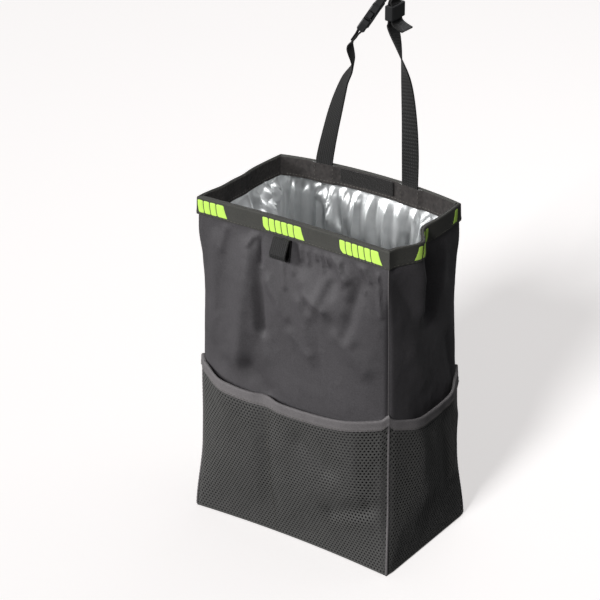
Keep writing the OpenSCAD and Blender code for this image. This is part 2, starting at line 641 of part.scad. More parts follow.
// The arms' room inside the socket, and the windows in its sides where they latch
arm_room_w = buckle_w - 4;
arm_room_t = buckle_t - 4.2;
window_low = 13.5;
window_high = 24.5;
module buckle_socket() {
    half = buckle_w / 2;
    color(black) on_buckle() {
        difference() {
            plate(both([[half - 2, 0], [half - 1.2, 1.5], [half, 9], [half, socket_l - 2.5], [half - 1.5, socket_l]]),
                buckle_t, 1.2);
            block(buckle_t + 2, web_slot, -1, socket_bar + bar_clear);
            block(arm_room_t, arm_room_w, 11, socket_l + 1);
            for (side = [-1, 1]) translate([0, side * half, 0])
                block(buckle_t + 2, 7, window_low, window_high);
        }
        bar(socket_bar);
    }
}
module buckle_plug() {
    half = buckle_w / 2 - 1;
    edge = arm_room_w / 2 - 0.6;
    root = plug_foot + 0.5;
    arm = [
        [edge - 4.2, root], [edge - 0.2, root], [edge, window_high - 0.4], [half + 0.7, window_high - 1.4],
        [half + 0.7, window_low + 3.5], [edge, window_low + 0.4], [edge - 1.8, window_low + 0.4],
        [edge - 2.8, window_low + 8]
    ];
    color(black) on_buckle() {
        difference() {
            plate(both([[half, plug_foot], [half, plug_top - 4], [half - 1.2, plug_top]]), buckle_t - 1, 1);
            block(buckle_t + 2, web_slot, plug_bar - bar_clear, plug_top + 1);
        }
        bar(plug_bar);
        for (side = [-1, 1]) rotate([90, 0, 90]) linear_extrude(arm_room_t - 0.8, center = true)
            scale([side, 1]) polygon(arm);
        block(arm_room_t - 1.8, 4, 20, root);
    }
}
module strap_slider() {
    slot = web_t + 2 * layer_gap;
    rim = 2;
    thick = slider_bar + 2 * (slot + rim);
    half = web_slot / 2 + rim;
    color(black) translate(slider_at) rotate([0, 0, slider_turn]) difference() {
        // The bevelled plate's thickness lies across the webbing
        rotate([0, 0, 90]) hull() {
            block(thick, 2 * half - 2, 1 - slider_l / 2, slider_l / 2 - 1);
            block(thick - 2, 2 * half, 1 - slider_l / 2, slider_l / 2 - 1);
            block(thick - 2, 2 * half - 2, -slider_l / 2, slider_l / 2);
        }
        for (side = [-1, 1]) translate([0, side * (slider_bar + slot) / 2, 0])
            cube([web_slot, slot, slider_l + 1], center = true);
        // The middle bar is shorter than the frame
        for (end = [-1, 1]) translate([0, 0, end * slider_l / 2])
            cube([web_slot, slot, slider_l / 2], center = true);
    }
}

// Small loop: webbing folded in two, its ends sewn to the lower edge of the front band
tab_x = -11;
tab_out = 11;
module loop_tab() {
    high = body_h - band_h - layer_gap;
    low = high - tab_l;
    r = tab_out / 2;
    // It lies against the outermost point of the panel behind it
    y = min([for (z = [low:4:high]) for (x = [-tab_w / 2:5:tab_w / 2])
        wall("front", (tab_x + x) / base_w + 0.5, z, 0, 0).y]) - layer_gap;
    color(tape) translate([tab_x - tab_w / 2, y, 0]) rotate([90, 0, 90]) linear_extrude(tab_w)
        difference() {
            hull() {
                translate([-2 * web_t - layer_gap, high - 1]) square([2 * web_t + layer_gap, 1]);
                translate([-r, low + r]) circle(r);
            }
            hull() {
                translate([-web_t - layer_gap, high - 3]) square([layer_gap, 1]);
                translate([-r, low + r]) circle(r - web_t);
            }
        }
}

front_panel();
back_panel();
left_panel();
right_panel();
base_panel();
base_board();
lining();
band_front();
band_back();
band_left();
band_right();
band_dashes();
rim_facing();
stay_front();
stay_back();
hook_patch();
loop_patch();
pocket_front();
pocket_left();
pocket_right();
binding_front();
binding_left();
binding_right();
loop_tab();
strap_left();
strap_right();
buckle_socket();
buckle_plug();
strap_slider();
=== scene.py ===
# %% [markdown]
# # A car trash bin, piece by piece
# The bag is a soft box of coated polyester with a silver film lining. It stands on a stiff base, has net
# pockets on three sides and hangs from a buckled strap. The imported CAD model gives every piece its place
# and size. This lesson dresses it in cloth, net, film, tape, webbing and moulded plastic.

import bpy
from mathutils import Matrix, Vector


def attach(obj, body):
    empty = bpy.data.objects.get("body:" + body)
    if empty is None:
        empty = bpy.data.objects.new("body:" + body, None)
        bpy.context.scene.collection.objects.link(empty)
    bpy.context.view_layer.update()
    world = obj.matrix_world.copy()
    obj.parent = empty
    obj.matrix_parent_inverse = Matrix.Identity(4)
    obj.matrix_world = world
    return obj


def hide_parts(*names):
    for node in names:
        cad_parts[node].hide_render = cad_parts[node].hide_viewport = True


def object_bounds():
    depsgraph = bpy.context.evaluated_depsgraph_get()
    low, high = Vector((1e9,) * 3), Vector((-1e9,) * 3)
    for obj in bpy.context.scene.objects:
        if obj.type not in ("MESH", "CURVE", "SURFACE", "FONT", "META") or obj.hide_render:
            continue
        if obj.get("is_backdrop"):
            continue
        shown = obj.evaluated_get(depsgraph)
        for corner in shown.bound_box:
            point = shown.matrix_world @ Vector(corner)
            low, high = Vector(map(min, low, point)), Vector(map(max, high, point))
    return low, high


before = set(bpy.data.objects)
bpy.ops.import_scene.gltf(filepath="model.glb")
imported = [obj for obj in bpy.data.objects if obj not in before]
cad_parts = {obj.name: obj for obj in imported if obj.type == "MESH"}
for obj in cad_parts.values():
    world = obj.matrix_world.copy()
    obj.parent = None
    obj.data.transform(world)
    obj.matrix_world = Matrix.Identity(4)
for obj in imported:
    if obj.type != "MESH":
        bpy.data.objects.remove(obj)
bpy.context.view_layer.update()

# %% Modules and units
import math

import bmesh
import bpy
from mathutils import Matrix, Vector, noise

MM = 0.001

# %% [markdown]
# ## The camera
# The picture's camera was worked out from the corners of the bag. A camera can be aimed with a constraint,
# but here its three axes are known, so they go straight into its matrix. The picture is square, so the
# focal length in pixels over the picture's width gives the lens.

# %% Camera
AZIMUTH, ELEVATION, ROLL = 35.362, 26.529, math.radians(-0.194)
EYE = Vector((1.212076, -1.762319, 1.323565))
PICTURE_PX, FOCAL_PX = 600, 2287.4
SENSOR_MM = 36


def direction(azimuth, elevation):
    """Way from the bag at these degrees: azimuth 0 is straight in front of it and 90 is right."""
    a, e = math.radians(azimuth), math.radians(elevation)
    return Vector((math.sin(a) * math.cos(e), -math.cos(a) * math.cos(e), math.sin(e)))


back = direction(AZIMUTH, ELEVATION)
right = direction(AZIMUTH + 90, 0)
up = back.cross(right)
rolled_right = right * math.cos(ROLL) + up * math.sin(ROLL)
rolled_up = up * math.cos(ROLL) - right * math.sin(ROLL)

camera_data = bpy.data.cameras.new("studio_camera")
camera_data.sensor_width = SENSOR_MM
camera_data.lens = FOCAL_PX / PICTURE_PX * SENSOR_MM
camera_data.clip_start, camera_data.clip_end = 0.05, 60
camera = bpy.data.objects.new("studio_camera", camera_data)
bpy.context.collection.objects.link(camera)
turned = Matrix((rolled_right, rolled_up, back)).transposed().to_4x4()
camera.matrix_world = Matrix.Translation(EYE) @ turned
bpy.context.scene.camera = camera
bpy.context.scene.view_settings.view_transform = "Standard"
print("lens in mm:", round(camera_data.lens, 1))

# %% [markdown]
# ## Colours and nodes
# Colours are written as the eye sees them, in sRGB hex. Shaders count in linear light, so one function
# turns the one into the other. A second small function adds a node, sets it and links it.

# %% Helpers for colours and nodes
def linear(hex_code):
    """Linear RGBA of an sRGB hex colour."""
    parts = [int(hex_code[i:i + 2], 16) / 255 for i in (1, 3, 5)]
    return (*[c / 12.92 if c <= 0.04045 else ((c + 0.055) / 1.055) ** 2.4 for c in parts], 1)


def add(tree, kind, inputs=None, **settings):
    """New node with its settings; an input takes a value or another node's socket."""
    made = tree.nodes.new(kind)
    for name, value in settings.items():
        setattr(made, name, value)
    for name, value in (inputs or {}).items():
        if isinstance(value, bpy.types.NodeSocket):
            tree.links.new(value, made.inputs[name])
        else:
            made.inputs[name].default_value = value
    return made


def new_finish(name):
    """Empty material and its node tree."""
    material = bpy.data.materials.new(name)
    material.use_nodes = True
    material.node_tree.nodes.clear()
    return material, material.node_tree


def wave_scale(period):
    """Scale of a Wave texture whose bands repeat after this many metres."""
    return 2 * math.pi / (20 * period)


print("mid grey in linear light:", round(linear("#808080")[0], 3))

# %% [markdown]
# ## Floor and light
# The bag stands on a white sweep. One lamp stands in front of it and a little to the right and throws the
# shadow behind it. A softer one from the left rakes over the front and brings out its folds, while the right
# side stays dark. A weak one lights the back, and a softbox hangs overhead. Light linking keeps two of them
# off the sweep, so that there is one shadow. The white behind the bag is only for rays from the camera, so
# that it puts no extra light on the cloth.

# %% Floor
FLOOR_SIZE = 24
bm = bmesh.new()
bmesh.ops.create_grid(bm, x_segments=1, y_segments=1, size=FLOOR_SIZE / 2)
floor_mesh = bpy.data.meshes.new("floor")
bm.to_mesh(floor_mesh)
bm.free()
floor = bpy.data.objects.new("floor", floor_mesh)
bpy.context.collection.objects.link(floor)
floor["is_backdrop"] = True


def by_ray(tree, seen, unseen):
    """The seen shader for rays from the camera, the unseen one for rays that carry light to the bag."""
    from_camera = add(tree, "ShaderNodeLightPath").outputs["Is Camera Ray"]
    mixed = add(tree, "ShaderNodeMixShader", {0: from_camera, 1: unseen.outputs[0], 2: seen.outputs[0]})
    return mixed.outputs[0]


floor_paper, tree = new_finish("matt_paper_sweep")
# Seen paper is white with a pale shadow. It throws back less light than it seems to, as in a large studio
paper = add(tree, "ShaderNodeBsdfDiffuse", {"Color": linear("#FFFDFD")})
glow = add(tree, "ShaderNodeEmission", {"Color": linear("#FBF7F5"), "Strength": 0.5})
white = add(tree, "ShaderNodeAddShader", {0: paper.outputs["BSDF"], 1: glow.outputs["Emission"]})
dull = add(tree, "ShaderNodeBsdfDiffuse", {"Color": linear("#707070")})
add(tree, "ShaderNodeOutputMaterial", {"Surface": by_ray(tree, white, dull)})
floor_mesh.materials.append(floor_paper)
print("floor is", FLOOR_SIZE, "m wide")

# %% Lamps and world
AIM = Vector((0, 0, 0.2))


def lamp(name, kind, azimuth, elevation, distance, energy, softness):
    """Lamp that faces the bag from this direction. Softness is a sun's angle or a softbox's size."""
    data = bpy.data.lights.new(name, kind)
    data.energy = energy
    if kind == "SUN":
        data.angle = math.radians(softness)
    else:
        data.size = softness
    way = direction(azimuth, elevation)
    holder = bpy.data.objects.new(name, data)
    holder.rotation_euler = (-way).to_track_quat("-Z", "Y").to_euler()
    holder.location = AIM + way * distance
    bpy.context.collection.objects.link(holder)
    return holder


def link_light(light, piece, state):
    """Lets a lamp shine on this piece alone ("INCLUDE") or on all but it ("EXCLUDE")."""
    receivers = bpy.data.collections.new(f"{light.name}_receivers")
    receivers.objects.link(piece)
    light.light_linking.receiver_collection = receivers
    receivers.collection_objects[0].light_linking.link_state = state


key = lamp("key_lamp", "SUN", azimuth=6, elevation=31, distance=3, energy=2.1, softness=12)
rake = lamp("raking_lamp", "SUN", azimuth=-52, elevation=20, distance=3, energy=2.7, softness=20)
rear = lamp("back_lamp", "SUN", azimuth=-165, elevation=28, distance=3, energy=0.8, softness=30)
softbox = lamp("softbox", "AREA", azimuth=170, elevation=66, distance=1.5, energy=4.2, softness=1.4)
for light in (rake, rear):
    link_light(light, floor, "EXCLUDE")

world = bpy.data.worlds.new("studio")
bpy.context.scene.world = world
world.use_nodes = True
tree = world.node_tree
tree.nodes.clear()
room_light = add(tree, "ShaderNodeBackground", {"Color": linear("#E9EDF2"), "Strength": 0.1})
backdrop = add(tree, "ShaderNodeBackground", {"Color": linear("#FDFDFD"), "Strength": 1.0})
add(tree, "ShaderNodeOutputWorld", {"Surface": by_ray(tree, backdrop, room_light)})
print("lamps:", key.data.energy, "and", rake.data.energy, "W/m2,", softbox.data.energy, "W")

# %% [markdown]
# ## The shape of the walls
# Each wall of the bag hangs between two corner seams. It narrows to the rim, is drawn in at the waist,
# swells between the seams and carries folds. The same functions shape the CAD model, where the waist is a
# little narrower. Here they are read at many more points, so that the folds come out smooth. All sizes are
# in millimetres.

# %% Sizes of the bag
BASE_W, BASE_D, BODY_H = 250, 152, 370
RIM_FRONT_W, RIM_BACK_W, RIM_D = 234, 224, 138
WAIST_X, WAIST_Y, BELLY = 3, 6.5, 4
FRONT_BOW, BACK_BOW, BACK_RISE = 6, 7, 2.5
GUSSET_OUT, GUSSET_IN = 15, 9
CLOTH_T, FILM_T, TAPE_T, NET_T, LAYER_GAP, FILM_GAP = 1, 0.5, 1, 0.9, 0.3, 2.2
BAND_H, FACING_H, STAY_T = 19.5, 22, 1.2
BAND_LOW = BODY_H - max(BAND_H, FACING_H)
BAND_SHARE = BAND_LOW / BODY_H
FOOT = CLOTH_T + LAYER_GAP
SIDES = ("front", "right", "back", "left")
LONG_SIDES = ("front", "back")
WIDTHS = {"front": BASE_W, "back": BASE_W, "left": BASE_D, "right": BASE_D}
RIM_WIDTHS = {"front": RIM_FRONT_W, "back": RIM_BACK_W, "left": RIM_D, "right": RIM_D}
# Walls whose left-to-right or front-to-back order runs against their outer face
TURNED = ("back", "left")


def ease(a, b, x):
    k = max(0, min(1, (x - a) / (b - a)))
    return k * k * (3 - 2 * k)


def hump(x, centre, width):
    return math.exp(-((x - centre) / width) ** 2)


def mix(a, b, k):
    return a + (b - a) * k


def clear_of_ends(reach, t):
    """0 at both ends of a wall, 1 beyond this share of it."""
    return ease(0, reach, t) * ease(0, reach, 1 - t)


def from_seam(side, t):
    """Distance in mm from a place on a wall to its nearer corner seam."""
    return min(t, 1 - t) * WIDTHS[side]


def soft_noise(x, y, z):
    """Smooth noise about 0, the same on every run."""
    return noise.noise(Vector((x, y, z)))


print("walls run straight up above", BAND_LOW, "mm")

# %% Folds of the walls
# Each fold is start, end, radius and height. Places are shares of the wall and sizes are in mm
FOLD_SHARES = {
    "front": [
        ((0.30, 0.93), (0.24, 0.56), 15, 7), ((0.315, 0.95), (0.36, 0.66), 7, -6),
        ((0.30, 0.53), (0.38, 0.47), 12, -5), ((0.58, 0.84), (0.70, 0.78), 11, 3.5),
        ((0.56, 0.78), (0.63, 0.64), 8, 3), ((0.77, 0.71), (0.90, 0.63), 10, 3.5),
        ((0.63, 0.96), (0.72, 0.86), 6, -2.5), ((0.78, 0.96), (0.80, 0.84), 6, 2.5),
        ((0.88, 0.93), (0.80, 0.72), 7, -3), ((0.10, 0.90), (0.06, 0.60), 10, 3),
        ((0.14, 0.46), (0.42, 0.30), 16, 3), ((0.60, 0.36), (0.72, 0.30), 13, -4),
        ((0.74, 0.16), (0.92, 0.20), 10, -4)],
    "right": [
        ((0.50, 0.96), (0.52, 0.74), 11, -8), ((0.30, 0.96), (0.36, 0.78), 13, 5),
        ((0.78, 0.97), (0.70, 0.80), 12, 2.5), ((0.24, 0.66), (0.40, 0.56), 14, 3),
        ((0.80, 0.62), (0.88, 0.50), 10, -3), ((0.20, 0.44), (0.40, 0.20), 14, 3),
        ((0.62, 0.40), (0.76, 0.16), 14, -3), ((0.86, 0.36), (0.80, 0.18), 10, 2.5)],
    "back": [
        ((0.24, 0.92), (0.34, 0.58), 12, -4), ((0.74, 0.92), (0.64, 0.56), 13, 4),
        ((0.44, 0.62), (0.56, 0.32), 15, 3), ((0.18, 0.34), (0.30, 0.16), 12, -3)],
}
# Small gathers that only the cloth of the front wall shows. Here places are in mm too, x from its middle
GATHERS = [
    ((-44, 350), (-42, 240), 6, 1.1), ((-60, 258), (-66, 196), 7, 0.35), ((6, 250), (34, 226), 7, 0.8),
    ((60, 300), (84, 262), 6, 0.9), ((-6, 345), (4, 318), 3.5, 0.9), ((17, 350), (22, 330), 2.4, 0.9),
    ((-20, 351), (-17, 334), 2.2, 0.7), ((34, 351), (41, 326), 2.2, 0.8), ((62, 351), (68, 318), 2.6, 0.9),
    ((70, 351), (80, 330), 2.2, 0.8), ((84, 351), (96, 318), 2.8, 0.9),
    ((28, 352), (32, 338), 2.5, 1.1), ((41, 352), (47, 336), 2.6, 1.2), ((50, 350), (72, 326), 4.5, 1.6),
    ((75, 350), (88, 322), 4.0, -1.4), ((89, 350), (101, 332), 3.0, 1.2), ((98, 350), (110, 330), 2.5, -0.9),
    ((111, 340), (116, 296), 3.0, 1.1), ((-27, 300), (-2, 268), 6, 1.1), ((23, 298), (48, 288), 5, 1.2),
    ((47, 320), (31, 278), 6, 1.0), ((-41, 350), (-40, 316), 2.6, -1.8), ((-47, 350), (-56, 334), 3.5, 1.4),
    ((-12, 322), (-6, 300), 3.5, 0.8), ((8, 352), (12, 334), 2.4, 0.9), ((-86, 350), (-92, 320), 4.5, 0.6)]


def near_segment(x, y, a, b):
    """Distance from a point to the segment a-b."""
    dx, dy = b[0] - a[0], b[1] - a[1]
    k = max(0, min(1, ((x - a[0]) * dx + (y - a[1]) * dy) / (dx * dx + dy * dy)))
    return math.hypot(x - a[0] - k * dx, y - a[1] - k * dy)


def relief(lines, x, z):
    """Height that these folds add at a point x and z in mm."""
    total = 0
    for start, end, radius, height in lines:
        away = near_segment(x, z, start, end)
        if away < 3 * radius:
            total += hump(away, 0, radius) * height
    return total


def spread(shares, width):
    """The same folds with their places in mm, x from the wall's left or front end."""
    return [((a * width, b * BODY_H), (c * width, d * BODY_H), radius, height)
            for (a, b), (c, d), radius, height in shares]


FOLDS = {side: spread(shares, WIDTHS[side]) for side, shares in FOLD_SHARES.items()}


def fade(t, v):
    """Folds fade out at the seams, at the base and under the rim band."""
    return clear_of_ends(0.1, t) * ease(0.01, 0.08, v) * ease(0, 0.07, BAND_SHARE - v)


print("folds:", {side: len(made) for side, made in FOLDS.items()}, "gathers:", len(GATHERS))

# %% The walls
def waist(v):
    return ease(0, 0.22, v) * (1 - ease(0.7, 0.92, v))


def half_width(v, rim_width):
    return mix(BASE_W, rim_width, v) / 2 - WAIST_X * waist(v)


def half_depth(v):
    return mix(BASE_D, RIM_D, v) / 2 - WAIST_Y * waist(v)


def belly(t, v):
    return (waist(v) + 0.2 * ease(0, 0.2, v)) * (1 - (2 * t - 1) ** 4)


def gusset(t, v, out):
    """Fold of a side wall at the rim: it stands out beside the middle, which is pushed in."""
    low = mix(0.88, 0.68, ease(0.04, 0.45, t))
    inward = GUSSET_IN * hump(t, 0.5, 0.11) * (1 - 0.7 * ease(0.84, BAND_SHARE, v))
    shape = out * hump(t, 0.27, 0.14) - inward
    return ease(low, BAND_SHARE, v) * ease(0, 0.12, t) * ease(0, 0.15, 1 - t) * shape


def swell(side, t, v):
    """How far a wall stands out from the flat between its seams."""
    # The left wall takes the right one's folds in a mirror
    mirrored = side == "left"
    x = (1 - t if mirrored else t) * WIDTHS[side]
    folded = relief(FOLDS["right" if mirrored else side], x, v * BODY_H) * fade(t, v)
    middle = 1 - (2 * t - 1) ** 2
    if side == "front":
        bow = FRONT_BOW * middle * (1 - ease(0, 0.24, v) + ease(0.78, BAND_SHARE, v))
        return (WAIST_Y + BELLY) * belly(t, v) + folded - bow
    if side == "back":
        bow = BACK_BOW * middle * ease(0.78, BAND_SHARE, v)
        return (WAIST_Y + BELLY) * belly(t, v) + folded + bow
    out = -GUSSET_IN * 0.4 if mirrored else GUSSET_OUT
    return (WAIST_X * 0.7 + BELLY) * belly(t, v) + gusset(t, v, out) + folded


def wall(side, t, z, inset_x=0, inset_y=None):
    """Point of a wall in mm: t runs left to right or front to back, z is the level height."""
    inset_y = inset_x if inset_y is None else inset_y
    v = z / BODY_H
    low = min(v, BAND_SHARE)
    across = 2 * t - 1
    if side in LONG_SIDES:
        half = half_width(v, RIM_WIDTHS[side])
        x = across * half - across ** 7 * inset_x
        y = half_depth(v) - inset_y + swell(side, t, low)
        if side == "front":
            return Vector((x, -y, z))
        return Vector((x, y, z + BACK_RISE * (1 - across ** 2) * ease(0.75, BAND_SHARE, low)))
    half = mix(half_width(v, RIM_FRONT_W), half_width(v, RIM_BACK_W), t)
    y = across * half_depth(v) - across ** 7 * inset_y
    x = half - inset_x + swell(side, t, low)
    return Vector((x if side == "right" else -x, y, z))


print("middle of the front rim:", [round(c, 1) for c in wall("front", 0.5, BODY_H)])

# %% [markdown]
# ## A sheet of cloth
# Cloth could be simulated, but these panels are sewn to each other on every edge, and their folds are known
# from the CAD model. So each sheet starts as a flat grid, its points are placed one by one, and a Solidify
# modifier gives it its thickness. Its UV map is in metres, so that a weave keeps its real scale.

# %% Helpers for meshes
SHARP = math.radians(40)


def to_object(bm, name, finish):
    """Mesh object of a bmesh, smooth but for its sharp edges."""
    mesh = bpy.data.meshes.new(name)
    for face in bm.faces:
        face.smooth = True
    bm.to_mesh(mesh)
    bm.free()
    mesh.set_sharp_from_angle(angle=SHARP)
    mesh.materials.append(finish)
    piece = bpy.data.objects.new(name, mesh)
    bpy.context.collection.objects.link(piece)
    return piece


def thicken(piece, thickness, offset=-1, round_edge=0):
    """Gives a sheet its thickness in mm, with its edges rounded if asked, as plain mesh."""
    wall_maker = piece.modifiers.new("thickness", "SOLIDIFY")
    wall_maker.thickness, wall_maker.offset = thickness * MM, offset
    if round_edge:
        rounding = piece.modifiers.new("round_edge", "BEVEL")
        rounding.width, rounding.segments, rounding.limit_method = round_edge * MM, 2, "ANGLE"
        rounding.angle_limit = math.radians(50)
    depsgraph = bpy.context.evaluated_depsgraph_get()
    made = bpy.data.meshes.new_from_object(piece.evaluated_get(depsgraph))
    made.name = piece.name
    piece.modifiers.clear()
    piece.data = made
    made.set_sharp_from_angle(angle=SHARP)


def sheet_grid(size, columns, rows, place, turned=False):
    """Grid of cloth of this flat size in mm, with a UV map in metres.

    place(across, up) gives a point's place in mm, where across and up run from 0 to 1.
    """
    bm = bmesh.new()
    uv = bm.loops.layers.uv.new("cloth_uv")
    bmesh.ops.create_grid(bm, x_segments=columns, y_segments=rows, size=0.5, calc_uvs=True)
    for face in bm.faces:
        for loop in face.loops:
            loop[uv].uv = (loop[uv].uv.x * size[0] * MM, loop[uv].uv.y * size[1] * MM)
    for vert in bm.verts:
        vert.co = place(vert.co.x + 0.5, vert.co.y + 0.5) * MM
    if turned:
        bmesh.ops.reverse_faces(bm, faces=bm.faces)
    return bm


def join(bm, other):
    """Adds another bmesh to this one."""
    spare = bpy.data.meshes.new("spare")
    other.to_mesh(spare)
    other.free()
    bm.from_mesh(spare)
    bpy.data.meshes.remove(spare)


def pick_step(fine):
    """The step of a grid, which is always the fine one it is given."""
    return fine


def make_piece(bm, name, finish, node=None, thickness=0, offset=-1, round_edge=0):
    """Piece that rides on the bag and stands for a CAD node. A sheet has its thickness in mm."""
    piece = to_object(bm, name, finish)
    if thickness:
        thicken(piece, thickness, offset, round_edge)
    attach(piece, "root")
    if node:
        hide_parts(node)
    print(name, "has", len(piece.data.polygons), "faces")
    return piece


print("edges sharper than", round(math.degrees(SHARP)), "degrees stay sharp")

# %% [markdown]
# ## Finishes of the soft parts
# Each finish starts from what the real one is. The outer cloth is plain-woven polyester with a coating on
# its back: dull, dark grey, with a faint sheen and a grain of threads. The tapes and the webbing are ribbed.
# The film is metallised, so it is a soft mirror. The net is knitted thread, and its holes are real.

# %% Coated polyester cloth
# The real threads lie about 0.5 mm apart; they are drawn 1 mm apart, so that they show
THREAD = 0.0010


def waves(tree, place, period, bands, distortion, detail_scale=1.0):
    """Light and dark bands, such as threads or ribs, that repeat after this many metres."""
    inputs = {"Vector": place, "Scale": wave_scale(period), "Distortion": distortion, "Detail": 1.0,
              "Detail Scale": detail_scale}
    return add(tree, "ShaderNodeTexWave", inputs, bands_direction=bands).outputs["Fac"]


def surface(tree, shade, dark, light, height, bump, depth, look):
    """One surface: its colour runs from dark to light with the shade, its relief follows the height."""
    colour = add(tree, "ShaderNodeMix", {"Factor": shade, "A": linear(dark), "B": linear(light)},
                 data_type="RGBA")
    relief = add(tree, "ShaderNodeBump", {"Height": height, "Strength": bump, "Distance": depth})
    shader = add(tree, "ShaderNodeBsdfPrincipled", {"Base Color": colour.outputs["Result"],
                                                    "Normal": relief.outputs["Normal"], **look})
    add(tree, "ShaderNodeOutputMaterial", {"Surface": shader.outputs["BSDF"]})


def woven_finish(name, light, dark, thread, rough, bump, sheen, grain=0.0016):
    """Two crossing sets of threads in the UV map, with a mottled colour between light and dark."""
    material, tree = new_finish(name)
    place = add(tree, "ShaderNodeUVMap", uv_map="cloth_uv").outputs["UV"]
    solid = add(tree, "ShaderNodeTexCoord").outputs["Object"]
    warp, weft = (waves(tree, place, thread, bands, 1.2, 0.4) for bands in "XY")
    threads = add(tree, "ShaderNodeMath", {0: warp, 1: weft}, operation="MULTIPLY")
    mottle = add(tree, "ShaderNodeTexNoise", {"Vector": solid, "Scale": 1 / grain, "Detail": 2.0,
                                              "Roughness": 0.6})
    patches = add(tree, "ShaderNodeTexNoise", {"Vector": solid, "Scale": 22.0, "Detail": 3.0})
    shade = 0.0
    for part, share in ((mottle, 0.55), (patches, 0.25), (threads, 0.25)):
        shade = add(tree, "ShaderNodeMath", {0: part.outputs[0], 1: share, 2: shade},
                    operation="MULTIPLY_ADD").outputs[0]
    ramp = add(tree, "ShaderNodeMapRange", {"Value": shade, "From Min": 0.28, "From Max": 0.72})
    surface(tree, ramp.outputs["Result"], dark, light, threads.outputs[0], bump, 0.0004,
            {"Roughness": rough, "Sheen Weight": sheen, "Sheen Roughness": 0.4, "Specular IOR Level": 0.4})
    return material


outer_cloth = woven_finish("coated_polyester_oxford", "#514E51", "#393739", THREAD, 0.56, 0.5, 0.06)
rim_tape = woven_finish("woven_polyester_tape", "#4C4B46", "#353532", 0.0008, 0.7, 0.5, 0.05, grain=0.0012)
binding_tape = woven_finish("polyester_binding", "#7A7677", "#585556", 0.0007, 0.7, 0.4, 0.06, grain=0.001)
print("cloth threads every", THREAD / MM, "mm")

# %% Other soft finishes
def ribbed_finish(name, light, dark, rib, rough):
    """Webbing: ribs across the strap, made by its tight crosswise threads."""
    material, tree = new_finish(name)
    place = add(tree, "ShaderNodeUVMap", uv_map="cloth_uv").outputs["UV"]
    ribs = waves(tree, place, rib, "Y", 0.6)
    lines = waves(tree, place, rib * 1.6, "X", 0.4)
    both = add(tree, "ShaderNodeMath", {0: ribs, 1: lines}, operation="MULTIPLY").outputs[0]
    surface(tree, both, dark, light, both, 0.8, 0.0005,
            {"Roughness": rough, "Sheen Weight": 0.08, "Specular IOR Level": 0.35})
    return material


def grained_finish(name, light, dark, grain, rough, bump, metallic=0.0, depth=0.0004, sheen=0.0):
    """Mottled finish with a fine relief, for pile, thread, film and moulded plastic."""
    material, tree = new_finish(name)
    place = add(tree, "ShaderNodeTexCoord").outputs["Object"]
    mottle = add(tree, "ShaderNodeTexNoise", {"Vector": place, "Scale": 1 / grain, "Detail": 3.0})
    fine = mottle.outputs["Fac"]
    surface(tree, fine, dark, light, fine, bump, depth,
            {"Roughness": rough, "Metallic": metallic, "Sheen Weight": sheen})
    return material


webbing_ribs = ribbed_finish("polypropylene_webbing", "#1D1C1B", "#100F0F", 0.0014, 0.62)
net_thread = grained_finish("knitted_polyester_net", "#585755", "#323231", 0.0007, 0.6, 0.5, sheen=0.1)
silver_film = grained_finish("metallised_film", "#FAFBFB", "#E6E9EA", 0.008, 0.4, 0.2, metallic=0.72,
                             depth=0.0012)
bright_dash = grained_finish("yellow_green_thread", "#D2FB78", "#BEEB50", 0.0009, 0.6, 0.3)
facing_tape = grained_finish("brushed_facing_tape", "#443F3D", "#0A0909", 0.004, 0.9, 1.0, depth=0.0012,
                             sheen=0.1)
pile = grained_finish("hook_and_loop_pile", "#1A1716", "#0A0807", 0.0014, 0.95, 1.0, depth=0.001, sheen=0.2)
sewing_thread = grained_finish("sewing_thread", "#6A6760", "#45433F", 0.0006, 0.6, 0.3)
moulded_black = grained_finish("moulded_acetal", "#2E2E2F", "#242425", 0.0006, 0.36, 0.15, depth=0.0001)
stiff_strip = grained_finish("extruded_polyethylene_strip", "#DADADA", "#CCCCCC", 0.002, 0.45, 0.1)
pressed_board = grained_finish("pressed_board", "#3A3A3A", "#222222", 0.0015, 0.8, 0.4)
print("finishes:", len(bpy.data.materials))

# %% [markdown]
# ## The four walls
# Every wall is a woven panel whose edges turn in to the corner seams. The two neighbours meet at the bottom
# of a small groove, where a ridge is laid over the seam later. Small gathers under the rim and a slight
# crumple come from the stitching and from handling.

# %% Panels
SEAM_ROLL, SEAM_ROLL_WIDTH, FOOT_ROLL = 2.0, 4.5, 1.2
# Between these heights the grooves beside the corner seams get shallow
GROOVE_FADE = (300, 335)
PANEL_TOP = BODY_H - 1.3
# All gathers are this many times as high as their list says
GATHER_SHARE = 2.4


def seam_roll(side, t, z):
    """How far a wall turns in beside its seams, and at the floor."""
    at_seam = (1 - ease(0, SEAM_ROLL_WIDTH, from_seam(side, t))) ** 1.5
    at_floor = (1 - ease(0, 5, z - FOOT)) ** 2
    return SEAM_ROLL * mix(1, 0.3, ease(*GROOVE_FADE, z)) * at_seam + FOOT_ROLL * at_floor


def crumple(side, t, z):
    """Small outward relief of the loose cloth."""
    x = (t - 0.5) * WIDTHS[side]
    seed = SIDES.index(side) * 37.0
    loose = clear_of_ends(0.06, t) * ease(0, 14, z - FOOT) * ease(0, 5, BAND_LOW - z)
    soft = 0.9 * soft_noise(x / 26, z / 34, seed) + 0.4 * soft_noise(x / 9, z / 13, seed)
    if side == "front":
        soft += GATHER_SHARE * relief(GATHERS, x, z)
    return soft * loose


def panel_point(side, t, r):
    z = mix(FOOT, PANEL_TOP, r)
    # The relief goes outwards only, clear of the film behind the cloth
    out = max(-0.1, crumple(side, t, z))
    return wall(side, t, z, seam_roll(side, t, z) - out)


